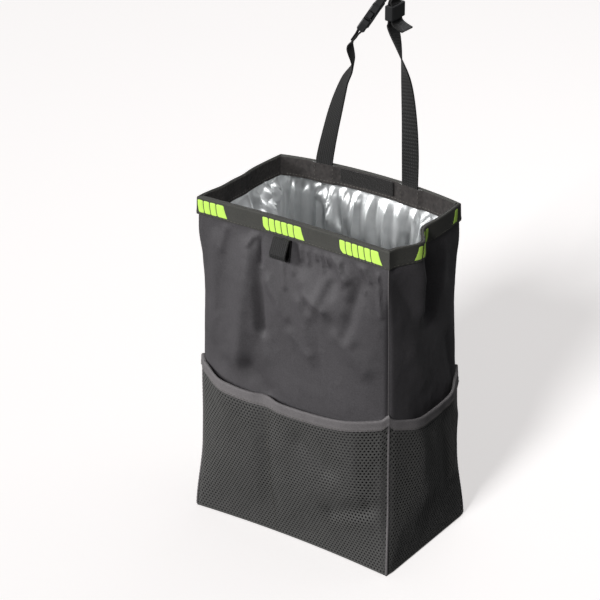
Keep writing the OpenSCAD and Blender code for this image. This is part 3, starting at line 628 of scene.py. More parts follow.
CLOTH_STEP = pick_step(2.2)
for side in SIDES:
    width = WIDTHS[side]
    bm = sheet_grid((width, BODY_H), round(width / CLOTH_STEP), round(BODY_H / (1.1 * CLOTH_STEP)),
                    lambda t, r: panel_point(side, t, r), side in TURNED)
    make_piece(bm, f"{side}_panel_cloth", outer_cloth, f"{side}_panel", CLOTH_T)

# %% [markdown]
# ## The base
# The base is one more panel under the bag. Its outline is that of the four walls at the floor, so its inner
# points are blended from the four edges, as a patch between four curves.

# %% Base panel
# The base lies this far inside the walls' faces
BASE_IN = 0.4
BASE_STEP = 4.2


def blend_patch(s, r, edge):
    """Point inside four edge curves, where edge(side, t) gives a point on each."""
    rows = mix(edge("front", s), edge("back", s), r)
    columns = mix(edge("left", r), edge("right", r), s)
    corners = mix(mix(edge("front", 0), edge("front", 1), s), mix(edge("back", 0), edge("back", 1), s), r)
    return rows + columns - corners


def floor_point(s, r):
    return blend_patch(s, r, lambda side, t: wall(side, t, 0, BASE_IN))


bm = sheet_grid((BASE_W, BASE_D), round(BASE_W / BASE_STEP), round(BASE_D / BASE_STEP), floor_point, True)
base = make_piece(bm, "base_panel_cloth", outer_cloth, "base_panel", CLOTH_T, round_edge=0.4)

# %% [markdown]
# ## The lining
# The lining is a bag of silver film, caught only under the rim and loose below it. It falls in long soft
# folds, with a few sharp ones where it is pushed back. The four walls are one grid that runs round, and the
# bottom is a patch that is merged to it.

# %% Lining
# Folds of the film on the back wall, as x and z in mm, radius and inward height
FILM_FOLDS = [
    ((-101, 352), (-98, 250), 5, 3.5), ((-84, 352), (-84, 220), 7, 2.0), ((-66, 340), (-40, 300), 4, 5.0),
    ((-49, 354), (-69, 336), 3.5, 3.5), ((-43, 350), (-16, 300), 7, 3.5), ((-8, 352), (-3, 250), 6, 4.0),
    ((29, 352), (34, 240), 8, 4.5), ((52, 350), (44, 300), 4, 3.5), ((64, 350), (52, 318), 4, 3.0),
    ((82, 348), (70, 300), 6, 4.5), ((98, 350), (96, 260), 5, 3.0), ((-24, 330), (-20, 240), 5, 3.0),
    ((16, 350), (18, 230), 4, 2.0)]
# The film hangs off the left wall beside its back corner and leaves a deep dark fold
CORNER_FOLD = ((60, 348), (26, 290), 5, 9.0)


def film_off(z):
    return CLOTH_T + mix(FILM_GAP, LAYER_GAP, ease(0.86, 0.93, z / BODY_H))


# The film is sewn in under the facing and hangs loose below it
FILM_SEAM = BODY_H - FACING_H - 1
FILM_TOP, FILM_FOOT = BODY_H - 1.6, FOOT + 2.8
# Its long folds are this high and this far apart, and they stray sideways by up to this much
DRAPE_H, DRAPE_STEP, DRAPE_STRAY = 9, 19, 9


def film_relief(side, t, z):
    """Inward folds of the film."""
    x = (t - 0.5) * WIDTHS[side]
    loose = clear_of_ends(0.05, t) * ease(6, 30, z) * ease(0, 12, FILM_SEAM - z)
    seed = SIDES.index(side) * 11.0
    total = 1.1 + 1.1 * soft_noise(x / 13, z / 90, 5 + seed) + 0.5 * soft_noise(x / 6, z / 28, 50 + seed)
    # Long narrow hanging folds, sharper at their crests than in their hollows
    drift = DRAPE_STRAY * soft_noise(x / 40, z / 70, 90 + seed)
    wave = 0.5 + 0.5 * math.sin((x + drift) * 2 * math.pi / DRAPE_STEP)
    total += DRAPE_H * wave ** 1.6 * (0.35 + 1.3 * abs(soft_noise(x / 24, z / 120, 70 + seed)))
    if side == "back":
        total += relief(FILM_FOLDS, x, z)
    if side == "left":
        # Two ridges stand on both sides of this fold's line
        start, end, radius, height = CORNER_FOLD
        away = near_segment(x, z, start, end)
        total = total * (1 - hump(away, 0, radius)) + hump(away, 1.6 * radius, 0.7 * radius) * height
    # The film keeps clear of the panels' seams at the corners
    corner = mix(2.6, 0.7, ease(*GROOVE_FADE, z)) * (1 - ease(0, 8, from_seam(side, t)))
    return total * loose + corner


# Columns of the grid that runs round, for each wall. The facing has them too
COUNTS = {"front": 104, "back": 104, "left": 60, "right": 60}
FILM_ROWS = pick_step(108)
RING = sum(COUNTS.values())


def around(share):
    """Wall and place on it, once round the bag from the front left corner."""
    left_over = share * RING
    for side in SIDES:
        if left_over <= COUNTS[side]:
            t = left_over / COUNTS[side]
            return side, 1 - t if side in TURNED else t
        left_over -= COUNTS[side]
    return SIDES[-1], 0.0


def film_point(share, r):
    side, t = around(share)
    z = mix(FILM_FOOT, FILM_TOP, r)
    return wall(side, t, z, film_off(z) + film_relief(side, t, z))


def bottom_point(s, r):
    return blend_patch(s, r, lambda side, t: wall(side, t, FILM_FOOT, film_off(FILM_FOOT)))


# Points nearer than this are one
SAME_SPOT = 0.05 * MM
perimeter = 2 * (BASE_W + BASE_D)
bm = sheet_grid((perimeter, BODY_H), RING, FILM_ROWS, film_point)
join(bm, sheet_grid((BASE_W, BASE_D), COUNTS["front"], COUNTS["left"], bottom_point, turned=True))
bmesh.ops.remove_doubles(bm, verts=bm.verts, dist=SAME_SPOT)
lining = make_piece(bm, "film_lining", silver_film, "lining", FILM_T)

# %% Light on the film
# The key lamp shines straight at the film's back wall and would flatten its folds, so the film has its own
film_lamp = lamp("film_lamp", "SUN", azimuth=50, elevation=36, distance=3, energy=1, softness=12)
link_light(key, lining, "EXCLUDE")
link_light(film_lamp, lining, "INCLUDE")
print("film lamp:", film_lamp.data.energy, "W/m2")

# %% [markdown]
# ## The rim tape and its dashes
# A woven tape is folded over the top edge of every wall. Its fold is round, since tape never folds to a
# sharp edge. The yellow-green dashes are woven into it, so they stand up only a hair. Each bar stands
# upright and its lower end curves away along the tape.

# %% Sections of tape
def section_length(section):
    return sum(math.dist(a, b) for a, b in zip(section, section[1:]))


def section_point(section, r):
    """Point of a folded tape's section at this share of its length."""
    way = r * section_length(section)
    for a, b in zip(section, section[1:]):
        length = math.dist(a, b)
        if way <= length:
            return mix(a[0], b[0], way / length), mix(a[1], b[1], way / length)
        way -= length
    return section[-1]


def arc(centre, radius, first, last, steps=6):
    """Points (inset, height) of an arc; 180 degrees points outward and 90 up."""
    turns = [math.radians(mix(first, last, i / steps)) for i in range(steps + 1)]
    return [(centre[0] + radius * math.cos(a), centre[1] + radius * math.sin(a)) for a in turns]


def tape_wave(side, t, z, size):
    """Slight waviness of sewn tape."""
    return size * soft_noise((t - 0.5) * WIDTHS[side] / 11, z / 40, 90 + SIDES.index(side) * 7.0)


def folded_tape(name, finish, node, side, length, section, rows, place):
    """Tape folded to this section, which runs along a wall and rests on the piece under it."""
    size = (length, section_length(section))
    bm = sheet_grid(size, round(length / TAPE_STEP), rows, place, side in TURNED)
    tape = make_piece(bm, name, finish, node, TAPE_T * 0.8)


TAPE_STEP = 2.6
print("a tape's grid has a column every", TAPE_STEP, "mm")

# %% Rim tape
BAND_OUT = LAYER_GAP + TAPE_T
STAY_OFF = CLOTH_T + LAYER_GAP + FILM_T + LAYER_GAP
TAPE_LOW = BODY_H - BAND_H
# The tape's lower edge rolls out by this much at this height above it
ROLL_OUT, ROLL_H = 0.25, 2.5
FOLD_OUTER_R, FOLD_INNER_R, FOLD_RISE = 1.6, 0.9, 0.3


def band_section(side):
    inside = STAY_OFF + STAY_T if side in LONG_SIDES else STAY_OFF - LAYER_GAP
    outer = (-BAND_OUT + FOLD_OUTER_R, BODY_H + FOLD_RISE - FOLD_OUTER_R)
    inner = (inside - FOLD_INNER_R, BODY_H + FOLD_RISE - FOLD_INNER_R)
    return ([(-BAND_OUT, TAPE_LOW), (-BAND_OUT - ROLL_OUT, TAPE_LOW + ROLL_H), (-BAND_OUT, TAPE_LOW + 6)]
            + arc(outer, FOLD_OUTER_R, 180, 90) + arc(inner, FOLD_INNER_R, 90, 0, 3))


def band_point(side, t, r):
    inset, z = section_point(band_section(side), r)
    wave = tape_wave(side, t, z, 0.25) * ease(0.9, 0.6, r) * clear_of_ends(0.04, t)
    return wall(side, t, z, inset - wave)


for side in SIDES:
    folded_tape(f"{side}_rim_tape", rim_tape, f"band_{side}", side, RIM_WIDTHS[side], band_section(side), 22,
                lambda t, r: band_point(side, t, r))

# %% Dashes
DASH_GROUPS, DASH_COUNT, DASH_STEP, DASH_PITCH = 3, 6, 7.6, 94.5
DASH_FIRST, DASH_SIDE_FIRST = -14.5, 23
DASH_H, DASH_W, DASH_SIDE_W = 13.5, 6.6, 5.4
DASH_LAST_W = 1.35 * DASH_W
DASH_T, DASH_OFF, DASH_PROUD, DASH_CORNER = 0.3, 0.12, 0.3, 0.7
# All edges lean a little, and the last bar's outer edge runs out into a point
DASH_EDGE_LEAN, DASH_LEAN = 2.0, 4.6
# The first bar is cut off from this share of its height down, and at its foot by this much
CUT_FROM, CUT_W = 0.7, 2.2
# No bar starts nearer to a corner seam than this, and none that is cut slimmer than this is made
DASH_EDGE, DASH_MIN_W = 1.2, 2


def dash(bm, side, start, width, way, last, first):
    """One woven bar of a group."""
    def place(across, rise):
        down = 1 - rise
        near = DASH_EDGE_LEAN * down ** 2
        far = width + (DASH_LEAN * down ** 1.5 if last else near)
        if first:
            near += CUT_W * (max(0, down - CUT_FROM) / (1 - CUT_FROM)) ** 1.5
        pointed = last and across > 0.5 and rise < 0.5
        corner = 0 if pointed else DASH_CORNER * abs(2 * across - 1) ** 8
        z = BODY_H - (BAND_H - DASH_H) / 2 - DASH_H * down
        z += math.copysign(corner, 0.5 - rise) * (2 * rise - 1) ** 2
        t = max(0.006, min(0.994, (start + way * mix(near, far, across)) / RIM_WIDTHS[side]))
        crown = DASH_PROUD * (1 - (2 * across - 1) ** 6) * (1 - (2 * rise - 1) ** 8)
        return wall(side, t, z, -BAND_OUT - ROLL_OUT * hump(z, TAPE_LOW + ROLL_H, 2.5) - DASH_OFF - crown)

    join(bm, sheet_grid((width, DASH_H), 8, 14, place, (side in TURNED) == (way > 0)))


def dash_group(bm, side, way, first):
    """Bars side by side: way is 1 where they run along the wall's order and -1 where against it."""
    for i in range(DASH_COUNT):
        last = i == DASH_COUNT - 1
        width = DASH_SIDE_W
        if way > 0:
            width = DASH_LAST_W if last else DASH_W
        start = first + way * i * DASH_STEP
        # The corner seam cuts off what would lie beyond it
        cut = max(0, DASH_EDGE - start) if way > 0 else 0
        start, width = start + cut, width - cut
        end = start + way * (width + DASH_LEAN)
        if width > DASH_MIN_W and min(start, end) > 1 and max(start, end) < RIM_WIDTHS[side] - 1:
            dash(bm, side, start, width, way, last, i == 0)


bars = bmesh.new()
for side in SIDES:
    way = 1 if side in LONG_SIDES else -1
    group = (DASH_COUNT - 1) * DASH_STEP + DASH_LAST_W + DASH_LEAN
    first = DASH_FIRST if way > 0 else DASH_SIDE_FIRST + group
    for g in range(DASH_GROUPS):
        dash_group(bars, side, way, first + g * DASH_PITCH)
make_piece(bars, "rim_dashes", bright_dash, "band_dashes", DASH_T)

# %% [markdown]
# ## Inside the rim
# A brushed black tape faces the inside of the rim, and its lower edge is bound. It lifts over the strap ends
# that are sewn behind it. Two patches of hook and loop in the middle close the mouth.

# %% Facing tape
STRAP_LEFT_X, STRAP_RIGHT_X, WEB_W, WEB_T = 57, 50, 20, 1.5
# Over a strap the facing is lifted this far beside its edge
LIFT_REACH = 7
FACING_ROWS = 14
FACING_LOW, FACING_TOP = BODY_H - FACING_H, BODY_H - 0.3
FACING_OFF_Y = STAY_OFF + STAY_T + LAYER_GAP
# The facing runs inside the rim, so it is shorter than the rim is round
RING_LENGTH = sum(RIM_WIDTHS.values()) * 0.98


def strap_lift(x):
    """How far the two strap ends lift the facing here."""
    reach = WEB_W / 2 + LIFT_REACH
    over = ease(0, 6, reach - abs(x + STRAP_LEFT_X)) + ease(0, 6, reach - abs(x - STRAP_RIGHT_X))
    return (WEB_T + LAYER_GAP) * over


def facing_inset(side, t, z):
    """How deep the facing lies behind the wall's face."""
    if side == "back":
        return FACING_OFF_Y + strap_lift(wall(side, t, z).x)
    return FACING_OFF_Y if side == "front" else STAY_OFF


def facing_point(share, r):
    side, t = around(share)
    z = mix(FACING_LOW, FACING_TOP, r)
    # The bound lower edge is thicker
    bound = 0.55 * (1 - ease(3.6, 4.6, z - FACING_LOW))
    more = TAPE_T + bound + tape_wave(side, t, z, 0.3) * clear_of_ends(0.05, t)
    inset_y = facing_inset(side, t, z) if side in LONG_SIDES else FACING_OFF_Y
    return wall(side, t, z, STAY_OFF + more, inset_y + more)


bm = sheet_grid((RING_LENGTH, FACING_H), RING, FACING_ROWS, facing_point)
bmesh.ops.remove_doubles(bm, verts=bm.verts, dist=SAME_SPOT)
facing = make_piece(bm, "rim_facing_tape", facing_tape, "rim_facing", TAPE_T * 0.9, offset=1,
                    round_edge=0.3)

# %% Hook and loop patches
PATCH_L, PATCH_H, PATCH_T, PILE_H = 66, 16, 1.2, 0.25
PATCH_LOW = BODY_H - 1 - PATCH_H
PATCH_MIDDLE = (STRAP_RIGHT_X - STRAP_LEFT_X) / 2


def patch_point(side, s, r):
    t = 0.5 + (PATCH_MIDDLE + (s - 0.5) * PATCH_L) / RIM_WIDTHS[side]
    inset = FACING_OFF_Y + TAPE_T + LAYER_GAP + PATCH_T + PILE_H * soft_noise(s * 40, r * 10, 3)
    return wall(side, t, PATCH_LOW + PATCH_H * r, inset)


for side, name in (("front", "hook_patch"), ("back", "loop_patch")):
    bm = sheet_grid((PATCH_L, PATCH_H), 44, 12, lambda s, r: patch_point(side, s, r), side in TURNED)
    make_piece(bm, f"{name}_pile", pile, name, PATCH_T, offset=1, round_edge=0.4)

# %% [markdown]
# ## The net pockets
# The net is warp-knitted: round holes lie in a honeycomb, 4 mm apart in a row. One hexagon is repeated along
# a row and up the rows, merged where the hexagons touch, and each is inset to leave a rim of thread. The flat
# net is then laid on the pocket's surface, which bellies out between its sewn edges.

# %% Pocket surface
POCKETS = ("front", "left", "right")
POCKET_EDGE_H, POCKET_SAG, POCKET_DROP = 185, 11, 4
POCKET_STAND, POCKET_REACH, BINDING_H, DIVIDER_AT = 9, 50, 10, 0.42
POCKET_ROOM = NET_T + TAPE_T + 2 * LAYER_GAP


def pocket_top(t):
    """The edge drops beside the seams that hold its ends, and sags between them."""
    return POCKET_EDGE_H - POCKET_DROP * clear_of_ends(0.03, t) - POCKET_SAG * (1 - abs(2 * t - 1) ** 2.4)


def stand(side, t, z):
    """How far a pocket's net stands off the wall."""
    k = z / pocket_top(t)
    sewn = 1 - 0.75 * hump(t, DIVIDER_AT, 0.05) * (1 - 0.4 * k) if side == "front" else 1
    free = clear_of_ends(POCKET_REACH / WIDTHS[side], t)
    groove = 0.8 * SEAM_ROLL * (1 - ease(0, 2 * SEAM_ROLL_WIDTH, from_seam(side, t)))
    return (LAYER_GAP + NET_T - groove
            + (POCKET_ROOM - NET_T) * ease(0.6, 0.92, k) * mix(0.5, 1, free)
            + (POCKET_STAND - POCKET_ROOM) * sewn * ease(0, 0.75, k) * free)


def net_wave(side, t, z):
    """Soft waves of the loose net."""
    x, seed = t * WIDTHS[side], SIDES.index(side) * 9.0
    loose = clear_of_ends(0.08, t) * ease(0, 20, z) * ease(0, 16, pocket_top(t) - BINDING_H - z)
    soft = 1.1 * soft_noise(x / 30, z / 44, 200 + seed) + 0.35 * soft_noise(x / 10, z / 14, 260 + seed)
    return loose * soft


def on_pocket(side, t, z, inset=0):
    return wall(side, t, z, inset - stand(side, t, z) - net_wave(side, t, z))


print("pocket edge in the middle:", round(pocket_top(0.5)), "mm")

# %% Honeycomb net
HOLE_PITCH = pick_step(4.0)
THREAD_W = HOLE_PITCH * 0.43
NET_THICK = 0.6
HEX_R = HOLE_PITCH / math.sqrt(3)
# The net ends this far under its binding's top
NET_UNDER = 1


def whole(bm):
    return bm.verts[:] + bm.edges[:] + bm.faces[:]


def repeat(bm, step, times):
    """Copies all there is this many times, each copy one step further."""
    bmesh.ops.spin(bm, geom=whole(bm), dvec=step, axis=(0, 0, 1), angle=0, steps=times, use_duplicate=True)


def honeycomb(width, height):
    """Flat net of this size in mm, from 0 to width and 0 to height."""
    bm = bmesh.new()
    bmesh.ops.create_circle(bm, cap_ends=True, segments=6, radius=HEX_R)
    repeat(bm, (HOLE_PITCH, 0, 0), round(width / HOLE_PITCH) + 1)
    second = bmesh.ops.duplicate(bm, geom=whole(bm))["geom"]
    bmesh.ops.translate(bm, verts=[v for v in second if isinstance(v, bmesh.types.BMVert)],
                        vec=(-HOLE_PITCH / 2, 1.5 * HEX_R, 0))
    repeat(bm, (0, 3 * HEX_R, 0), (round(height / (1.5 * HEX_R)) + 2) // 2)
    bmesh.ops.remove_doubles(bm, verts=bm.verts, dist=0.05)
    for spot, way in (((0, 0, 0), (-1, 0, 0)), ((width, 0, 0), (1, 0, 0)), ((0, 0, 0), (0, -1, 0)),
                      ((0, height, 0), (0, 1, 0))):
        bmesh.ops.bisect_plane(bm, geom=whole(bm), plane_co=spot, plane_no=way, clear_outer=True)
    bmesh.ops.remove_doubles(bm, verts=bm.verts, dist=0.25)
    cells = bm.faces[:]
    bmesh.ops.inset_individual(bm, faces=cells, thickness=THREAD_W / 2, use_even_offset=True)
    bmesh.ops.delete(bm, geom=cells, context="FACES_ONLY")
    return bm


for side in POCKETS:
    width, height = WIDTHS[side], POCKET_EDGE_H - FOOT
    bm = honeycomb(width, height)
    for vert in bm.verts:
        t = vert.co.x / width
        vert.co = on_pocket(side, t, FOOT + (pocket_top(t) - NET_UNDER - FOOT) * vert.co.y / height) * MM
    if side in TURNED:
        bmesh.ops.reverse_faces(bm, faces=bm.faces)
    net = make_piece(bm, f"{side}_pocket_net", net_thread, f"pocket_{side}", NET_THICK)

# %% Corner ridges
# The corner seams stand up as narrow ridges. Below the pocket edge they are wider, as they hold the nets too.
# Each ridge has its lower end, upper end and radius
RIDGES = ((FOOT + 1, POCKET_EDGE_H - BINDING_H, 1.3), (POCKET_EDGE_H - 2, TAPE_LOW + 2, 0.7))
# Every stitch pinches the ridge a little
STITCH, STITCH_GAP, PINCH = 2.9, 1.3, 0.12


def ridge_point(side, end, low, high, radius, across, up):
    """Round ridge on a corner: side and end name the corner, across runs over it."""
    z = mix(low, high, up)
    inset = -stand(side, end, z) if high < POCKET_EDGE_H else 0.9 * seam_roll(side, end, z)
    corner = wall(side, end, z, inset)
    out = Vector((math.copysign(1, corner.x), math.copysign(1, corner.y), 0)).normalized()
    turn = math.pi * across
    pinched = 1 + PINCH * math.sin(z * 2 * math.pi / (STITCH + STITCH_GAP))
    return (corner + out * (radius * pinched * math.sin(turn) - 0.4 * radius)
            + out.cross(Vector((0, 0, 1))) * radius * math.cos(turn))


ridges = bmesh.new()
for side, end in (("front", 0), ("front", 1), ("back", 0), ("back", 1)):
    for low, high, radius in RIDGES:
        join(ridges, sheet_grid((6, high - low), 8, 120,
                                lambda across, up: ridge_point(side, end, low, high, radius, across, up)))
make_piece(ridges, "corner_seam_ridges", binding_tape, thickness=0.5)

# %% [markdown]
# ## The pocket edges
# A folded tape binds the top edge of each net pocket. It is sewn through close to its lower edge, and the
# net's gathers make it wave a little.

# %% Bindings
BIND_IN = NET_T + LAYER_GAP + TAPE_T
BIND_R = (BIND_IN + BAND_OUT) / 2
binding_section = ([(-BAND_OUT, -BINDING_H), (-BAND_OUT - 0.2, 2 - BINDING_H), (-BAND_OUT, 4 - BINDING_H)]
                   + arc((BIND_IN - BIND_R, BAND_OUT - BIND_R), BIND_R, 180, 0, 8)
                   + [(BIND_IN, -BINDING_H)])


def binding_point(side, t, r):
    inset, rise = section_point(binding_section, r)
    top = pocket_top(t)
    wave = tape_wave(side, t, top, 0.3) * clear_of_ends(0.08, t)

    def level(z):
        return wall(side, t, z, inset - stand(side, t, z) - wave)

    return mix(level(top - BINDING_H), level(top), 1 + rise / BINDING_H)


for side in POCKETS:
    folded_tape(f"{side}_pocket_binding", binding_tape, f"binding_{side}", side, WIDTHS[side],
                binding_section, 24, lambda t, r: binding_point(side, t, r))

# %% [markdown]
# ## The straps and the tab
# Webbing is woven flat and stiff across its width, so it bends along its length and twists, but never
# creases sideways. Each strap is a narrow sheet along a smooth route through the CAD model's stops. A stop is
# x, y, z in mm and the webbing's turn in degrees.

# %% Routes of the webbing
BACK_RIM_Z = BODY_H + BACK_RISE
STRAP_SEWN, STEPS = 17, 8
LAYER_STEP = WEB_T + LAYER_GAP


def strap_y(x, z):
    """Depth at which webbing lies behind the facing of the back rim."""
    return wall("back", x / RIM_BACK_W + 0.5, z, 0, FACING_OFF_Y + WEB_T / 2).y


def rim_turn(x):
    """Turn of webbing that lies flat on the back rim, from the rim's slope there."""
    return math.degrees(math.atan((strap_y(x + 5, BODY_H) - strap_y(x - 5, BODY_H)) / 10))


def rim_stops(x):
    """Stops of a strap's sewn end."""
    return [(x, strap_y(x, min(BODY_H, BODY_H + dz)), BODY_H + dz, rim_turn(x))
            for dz in (-STRAP_SEWN, -STRAP_SEWN / 3, STRAP_SEWN / 3)]


def rise_stops(x, steps):
    """Stops above the rim, from steps sideways, backwards and up, and turns."""
    return [(x + dx, strap_y(x, BODY_H) + dy, BACK_RIM_Z + dz, turn) for dx, dy, dz, turn in steps]


def spline(a, b, c, d, k):
    """Smooth curve from b at k = 0 to c at k = 1, on its way from a to d."""
    bend, change = 2 * a - 5 * b + 4 * c - d, 3 * b - a - 3 * c + d
    return 0.5 * (2 * b + (c - a) * k + bend * k * k + change * k ** 3)


def route(stops):
    """Smooth route through stops of x, y, z and turn."""
    stops = [Vector(stop) for stop in stops]
    last = len(stops) - 1
    points = [spline(stops[max(i - 1, 0)], stops[i], stops[i + 1], stops[min(i + 2, last)], j / STEPS)
              for i in range(last) for j in range(STEPS)]
    return points + [stops[last]]


def frames(way):
    """Point, direction of the width and direction of the thickness, all along a route."""
    made, last = [], len(way) - 1
    for i, stop in enumerate(way):
        tangent = (way[min(i + 1, last)].to_3d() - way[max(i - 1, 0)].to_3d()).normalized()
        turn = math.radians(stop.w)
        flat = Vector((math.cos(turn), math.sin(turn), 0))
        across = (flat - flat.dot(tangent) * tangent).normalized()
        made.append((stop.to_3d(), across, tangent.cross(across)))
    return made


def webbing(name, spots, node):
    """Strap along spots, each a point and the way across it. Gives the strap and its length."""
    last = len(spots) - 1
    length = sum((b[0] - a[0]).length for a, b in zip(spots, spots[1:]))

    def place(across, along):
        spot, width_way = spots[round(along * last)][:2]
        return spot + width_way * (across - 0.5) * WEB_W

    bm = sheet_grid((WEB_W, length), 8, last, place)
    strap = make_piece(bm, name, webbing_ribs, node, WEB_T, offset=0, round_edge=0.45)
    print(name, "is", round(length), "mm long")
    return strap, length


print("straps leave the rim at", -STRAP_LEFT_X, "and", STRAP_RIGHT_X, "mm")

# %% Webbing in the buckle
BUCKLE_AT = Vector((-14, 76, BODY_H + 160))
BUCKLE_TILT = (Matrix.Rotation(math.radians(35), 3, "Z") @ Matrix.Rotation(math.radians(33), 3, "Y")
               @ Matrix.Rotation(math.radians(-15), 3, "Z"))
SOCKET_L, PLUG_L, BAR_R, LOOP_SEWN = 33, 15, 1.5, 14
LOOP_R = BAR_R + LAYER_GAP + WEB_T / 2
PLUG_TOP = SOCKET_L + LAYER_GAP + PLUG_L
SLIDER_AT, SLIDER_TURN, SLIDER_L, SLIDER_BAR = Vector((18, 88, BODY_H + 182)), -88, 16, 1.5
SLIDER_LEAD, BEND_FOOT, BEND_GAP = 8, 8, 1.7


def in_buckle(off, s):
    """Point in the buckle: off is across its thickness and s along it, from the socket's foot."""
    return BUCKLE_AT + BUCKLE_TILT @ Vector((off, 0, s))


# The way across the webbing in the buckle, and its turn where it leaves the buckle
BUCKLE_ACROSS, buckle_along = -BUCKLE_TILT.col[1], BUCKLE_TILT.col[2]
level = buckle_along.z * BUCKLE_ACROSS - BUCKLE_ACROSS.z * buckle_along
BUCKLE_TURN = math.degrees(math.atan2(level.y, level.x))


def buckle_stop(s):
    """Stop of webbing in the middle of the buckle's thickness."""
    return (*in_buckle(0, s), BUCKLE_TURN)


def buckle_frames(path):
    """Points of the buckle's thickness and length in its place, each with the way across the webbing."""
    return [(in_buckle(off, s), BUCKLE_ACROSS) for off, s in path]


def round_bar(s, way, steps=12):
    """Half turn around a bar."""
    turns = [way * math.pi * i / steps for i in range(steps + 1)]
    return [(LOOP_R * math.cos(a), s + LOOP_R * math.sin(a)) for a in turns]


print("webbing turns in the buckle by", round(BUCKLE_TURN), "degrees")

# %% Left strap
LEFT_RISE = [(5, 1, 30, -6), (12, 3, 62, -17), (22, 4, 94, -38), (33, 4, 116, -60)]
way = route(rim_stops(-STRAP_LEFT_X) + rise_stops(-STRAP_LEFT_X, LEFT_RISE)
            + [buckle_stop(s) for s in (-LOOP_SEWN - 8, -LOOP_SEWN - 1, -8)])
loop = [(LAYER_STEP * 0.6, -4)] + round_bar(BAR_R, 1) + [(-LAYER_STEP, -5), (-LAYER_STEP, -LOOP_SEWN)]
strap_left = webbing("left_strap_webbing", frames(way) + buckle_frames(loop), "strap_left")

# %% Right strap and its tail
RIGHT_RISE = [(-1, 1, 36, 0), (-5, 4, 74, -10), (-12, 8, 110, -28), (-22, 11, 138, -60)]
TOP_BEND = [(8.6, -2.8, -2, -12), (8, -0.8, 7, -8), (3, 1, 10, -3)]
TAIL_BEND = [(1.5, -2), (6.5, -5), (13.5, -7.5)]
half = SLIDER_L / 2 + 2
slider_turn = math.radians(SLIDER_TURN)
off = ((SLIDER_BAR + WEB_T) / 2 + LAYER_GAP) * Vector((math.sin(slider_turn), -math.cos(slider_turn), 0))


def slider_stop(side, dx, z):
    """Stop beside the slider's bar: side is 1 for the first layer and -1 for the tail behind it."""
    return (*(SLIDER_AT + side * off + Vector((dx, 0, z))), SLIDER_TURN)


up_stops = rim_stops(STRAP_RIGHT_X) + rise_stops(STRAP_RIGHT_X, RIGHT_RISE)
top_stops = [slider_stop(1, 0, z) for z in (-half - SLIDER_LEAD, -half, 0, half)]
top_stops += [(*(in_buckle(0, PLUG_TOP + BEND_FOOT) + Vector(b[:3])), BUCKLE_TURN + b[3]) for b in TOP_BEND]
top_stops += [buckle_stop(PLUG_TOP + s) for s in (6.5, 3)]
main = frames(route(up_stops + top_stops))
# The second layer runs outside the first, with more room over the bend, down to just above the slider
first_back, last = (len(up_stops) + 3) * STEPS, len(main) - 1
second = []
for i in range(last, first_back - 1, -1):
    spot, across, out = main[i]
    away = LAYER_STEP + BEND_GAP * math.sin(math.pi * (i - first_back) / (last - first_back))
    second.append((spot + out * away, across))
tail_stops = [slider_stop(-1, 0, z) for z in (half - 2, 0, 2 - half)]
tail_stops += [slider_stop(-1, dx, dz - half) for dx, dz in TAIL_BEND]
tail = frames(route(tail_stops))
strap_right = webbing("right_strap_webbing",
                      main + buckle_frames(round_bar(PLUG_TOP - BAR_R, -1)) + second + tail, "strap_right")

# %% Loop tab
TAB_X, TAB_OUT, TAB_L, TAB_W = -11, 11, 22, 20
tab_low = TAPE_LOW - LAYER_GAP - TAB_L
tab_r = TAB_OUT / 2
tab_back = min(wall("front", (TAB_X + dx) / BASE_W + 0.5, z).y
               for z in range(int(tab_low), int(TAPE_LOW)) for dx in (-TAB_W / 2, 0, TAB_W / 2)) - LAYER_GAP
drop = Vector((tab_r - (WEB_T * 1.5 + LAYER_GAP), TAB_L - tab_r))
turn_end = math.degrees(math.atan2(drop.y, drop.x) + math.acos((tab_r - WEB_T / 2) / drop.length)) - 360
tab_section = ([(-WEB_T / 2, TAPE_LOW)]
               + arc((-tab_r, tab_low + tab_r), tab_r - WEB_T / 2, 0, turn_end, 20)
               + [(-WEB_T * 1.5 - LAYER_GAP, TAPE_LOW)])


def tab_point(across, along):
    out, z = section_point(tab_section, along)
    return Vector((TAB_X + (across - 0.5) * TAB_W, tab_back + out, z))


bm = sheet_grid((TAB_W, section_length(tab_section)), 8, 60, tab_point)
make_piece(bm, "front_loop_tab", webbing_ribs, "loop_tab", WEB_T, offset=0, round_edge=0.4)

# %% [markdown]
# ## Stitching
# Every seam is a row of small thread stitches, about 3 mm long and 1 mm apart, half sunk in the cloth.
# Each stitch is one small ball that is stretched along the seam.

# %% Stitches
STITCH_W, STITCH_H, LIFT = 0.75, 0.7, 0.1
OUTWARD = {side: direction(azimuth, 0) for side, azimuth in zip(SIDES, (0, 90, 180, -90))}
# How far each row lies above the lower edge of its band, facing or binding
BAND_ROW, FACING_ROW, BINDING_ROW = 1.6, 3.2, 1.8
stitches = bmesh.new()


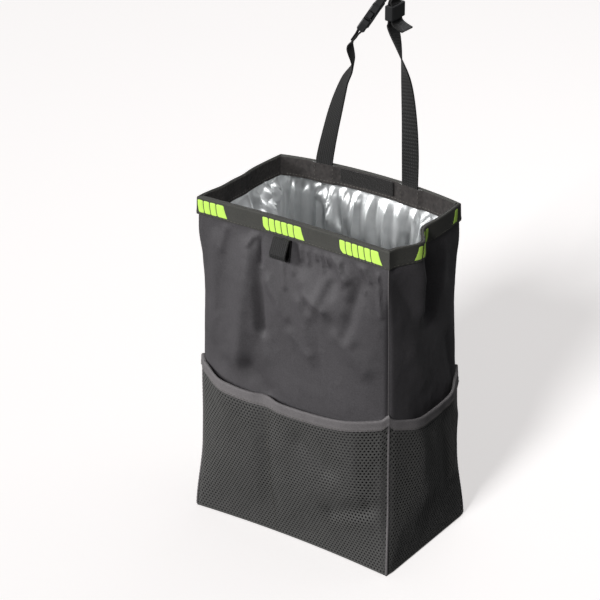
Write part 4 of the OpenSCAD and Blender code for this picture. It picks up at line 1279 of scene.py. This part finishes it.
def sew(path, length):
    """Row of stitches along path(s), s from 0 to 1, which gives a point and a way out."""
    count = int(length / (STITCH + STITCH_GAP))
    for i in range(count):
        at = (i + 0.5) / count
        spot, out = path(at)
        along = (path(min(1, at + 0.002))[0] - path(max(0, at - 0.002))[0]).normalized()
        out = (out - out.dot(along) * along).normalized()
        half_axes = (along * STITCH / 2, out.cross(along) * STITCH_W / 2, out * STITCH_H / 2)
        axes = Matrix(half_axes).transposed().to_4x4()
        bmesh.ops.create_icosphere(stitches, subdivisions=1, radius=MM,
                                   matrix=Matrix.Translation((spot + out * LIFT) * MM) @ axes)


def facing_face(side, t, z, deeper=0):
    """Inner face of the facing, or a point behind it."""
    return wall(side, t, z, facing_inset(side, t, z) + TAPE_T + deeper)


for side in SIDES:
    out = OUTWARD[side]
    sew(lambda s: (wall(side, mix(0.01, 0.99, s), TAPE_LOW + BAND_ROW, -BAND_OUT - 0.2), out),
        RIM_WIDTHS[side])
    sew(lambda s: (facing_face(side, mix(0.03, 0.97, s), FACING_LOW + FACING_ROW, 0.5), -out),
        RIM_WIDTHS[side])
for side in POCKETS:
    row = BINDING_ROW / section_length(binding_section)
    sew(lambda s: (binding_point(side, mix(0.01, 0.99, s), row), OUTWARD[side]), WIDTHS[side])
divider = pocket_top(DIVIDER_AT) - BINDING_H - 1
sew(lambda s: (on_pocket("front", DIVIDER_AT, mix(6, divider, s), -0.1), OUTWARD["front"]), divider - 6)
for x in (-STRAP_LEFT_X, STRAP_RIGHT_X):
    for edge in (-WEB_W / 2 - 1, WEB_W / 2 + 1):
        t = 0.5 + (x + edge) / RIM_BACK_W
        sew(lambda s: (facing_face("back", t, mix(BODY_H - STRAP_SEWN, BODY_H - 2, s)), OUTWARD["front"]),
            STRAP_SEWN - 2)
make_piece(stitches, "seam_stitches", sewing_thread)

# %% [markdown]
# ## Parts that stay as they are
# The moulded buckle, the slider, the stay strips and the base board are rigid, and the CAD model has their
# shapes. They only get their finish.

# %% Finishes of the rigid parts
RIGID = {"base_board": pressed_board, "stay_front": stiff_strip, "stay_back": stiff_strip,
         "buckle_socket": moulded_black, "buckle_plug": moulded_black, "strap_slider": moulded_black}
for node, finish in RIGID.items():
    for slot in bpy.data.objects[node].material_slots:
        slot.material = finish
print("rigid parts:", len(RIGID))

# %% [markdown]
# ## What is cloth
# A loop runs over the four walls and does nothing more.

# %% Sheets
for side in SIDES:
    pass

# %% Sizes
low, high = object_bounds()
print("visual box in mm:", [round(c / MM, 1) for c in (*low, *high)])
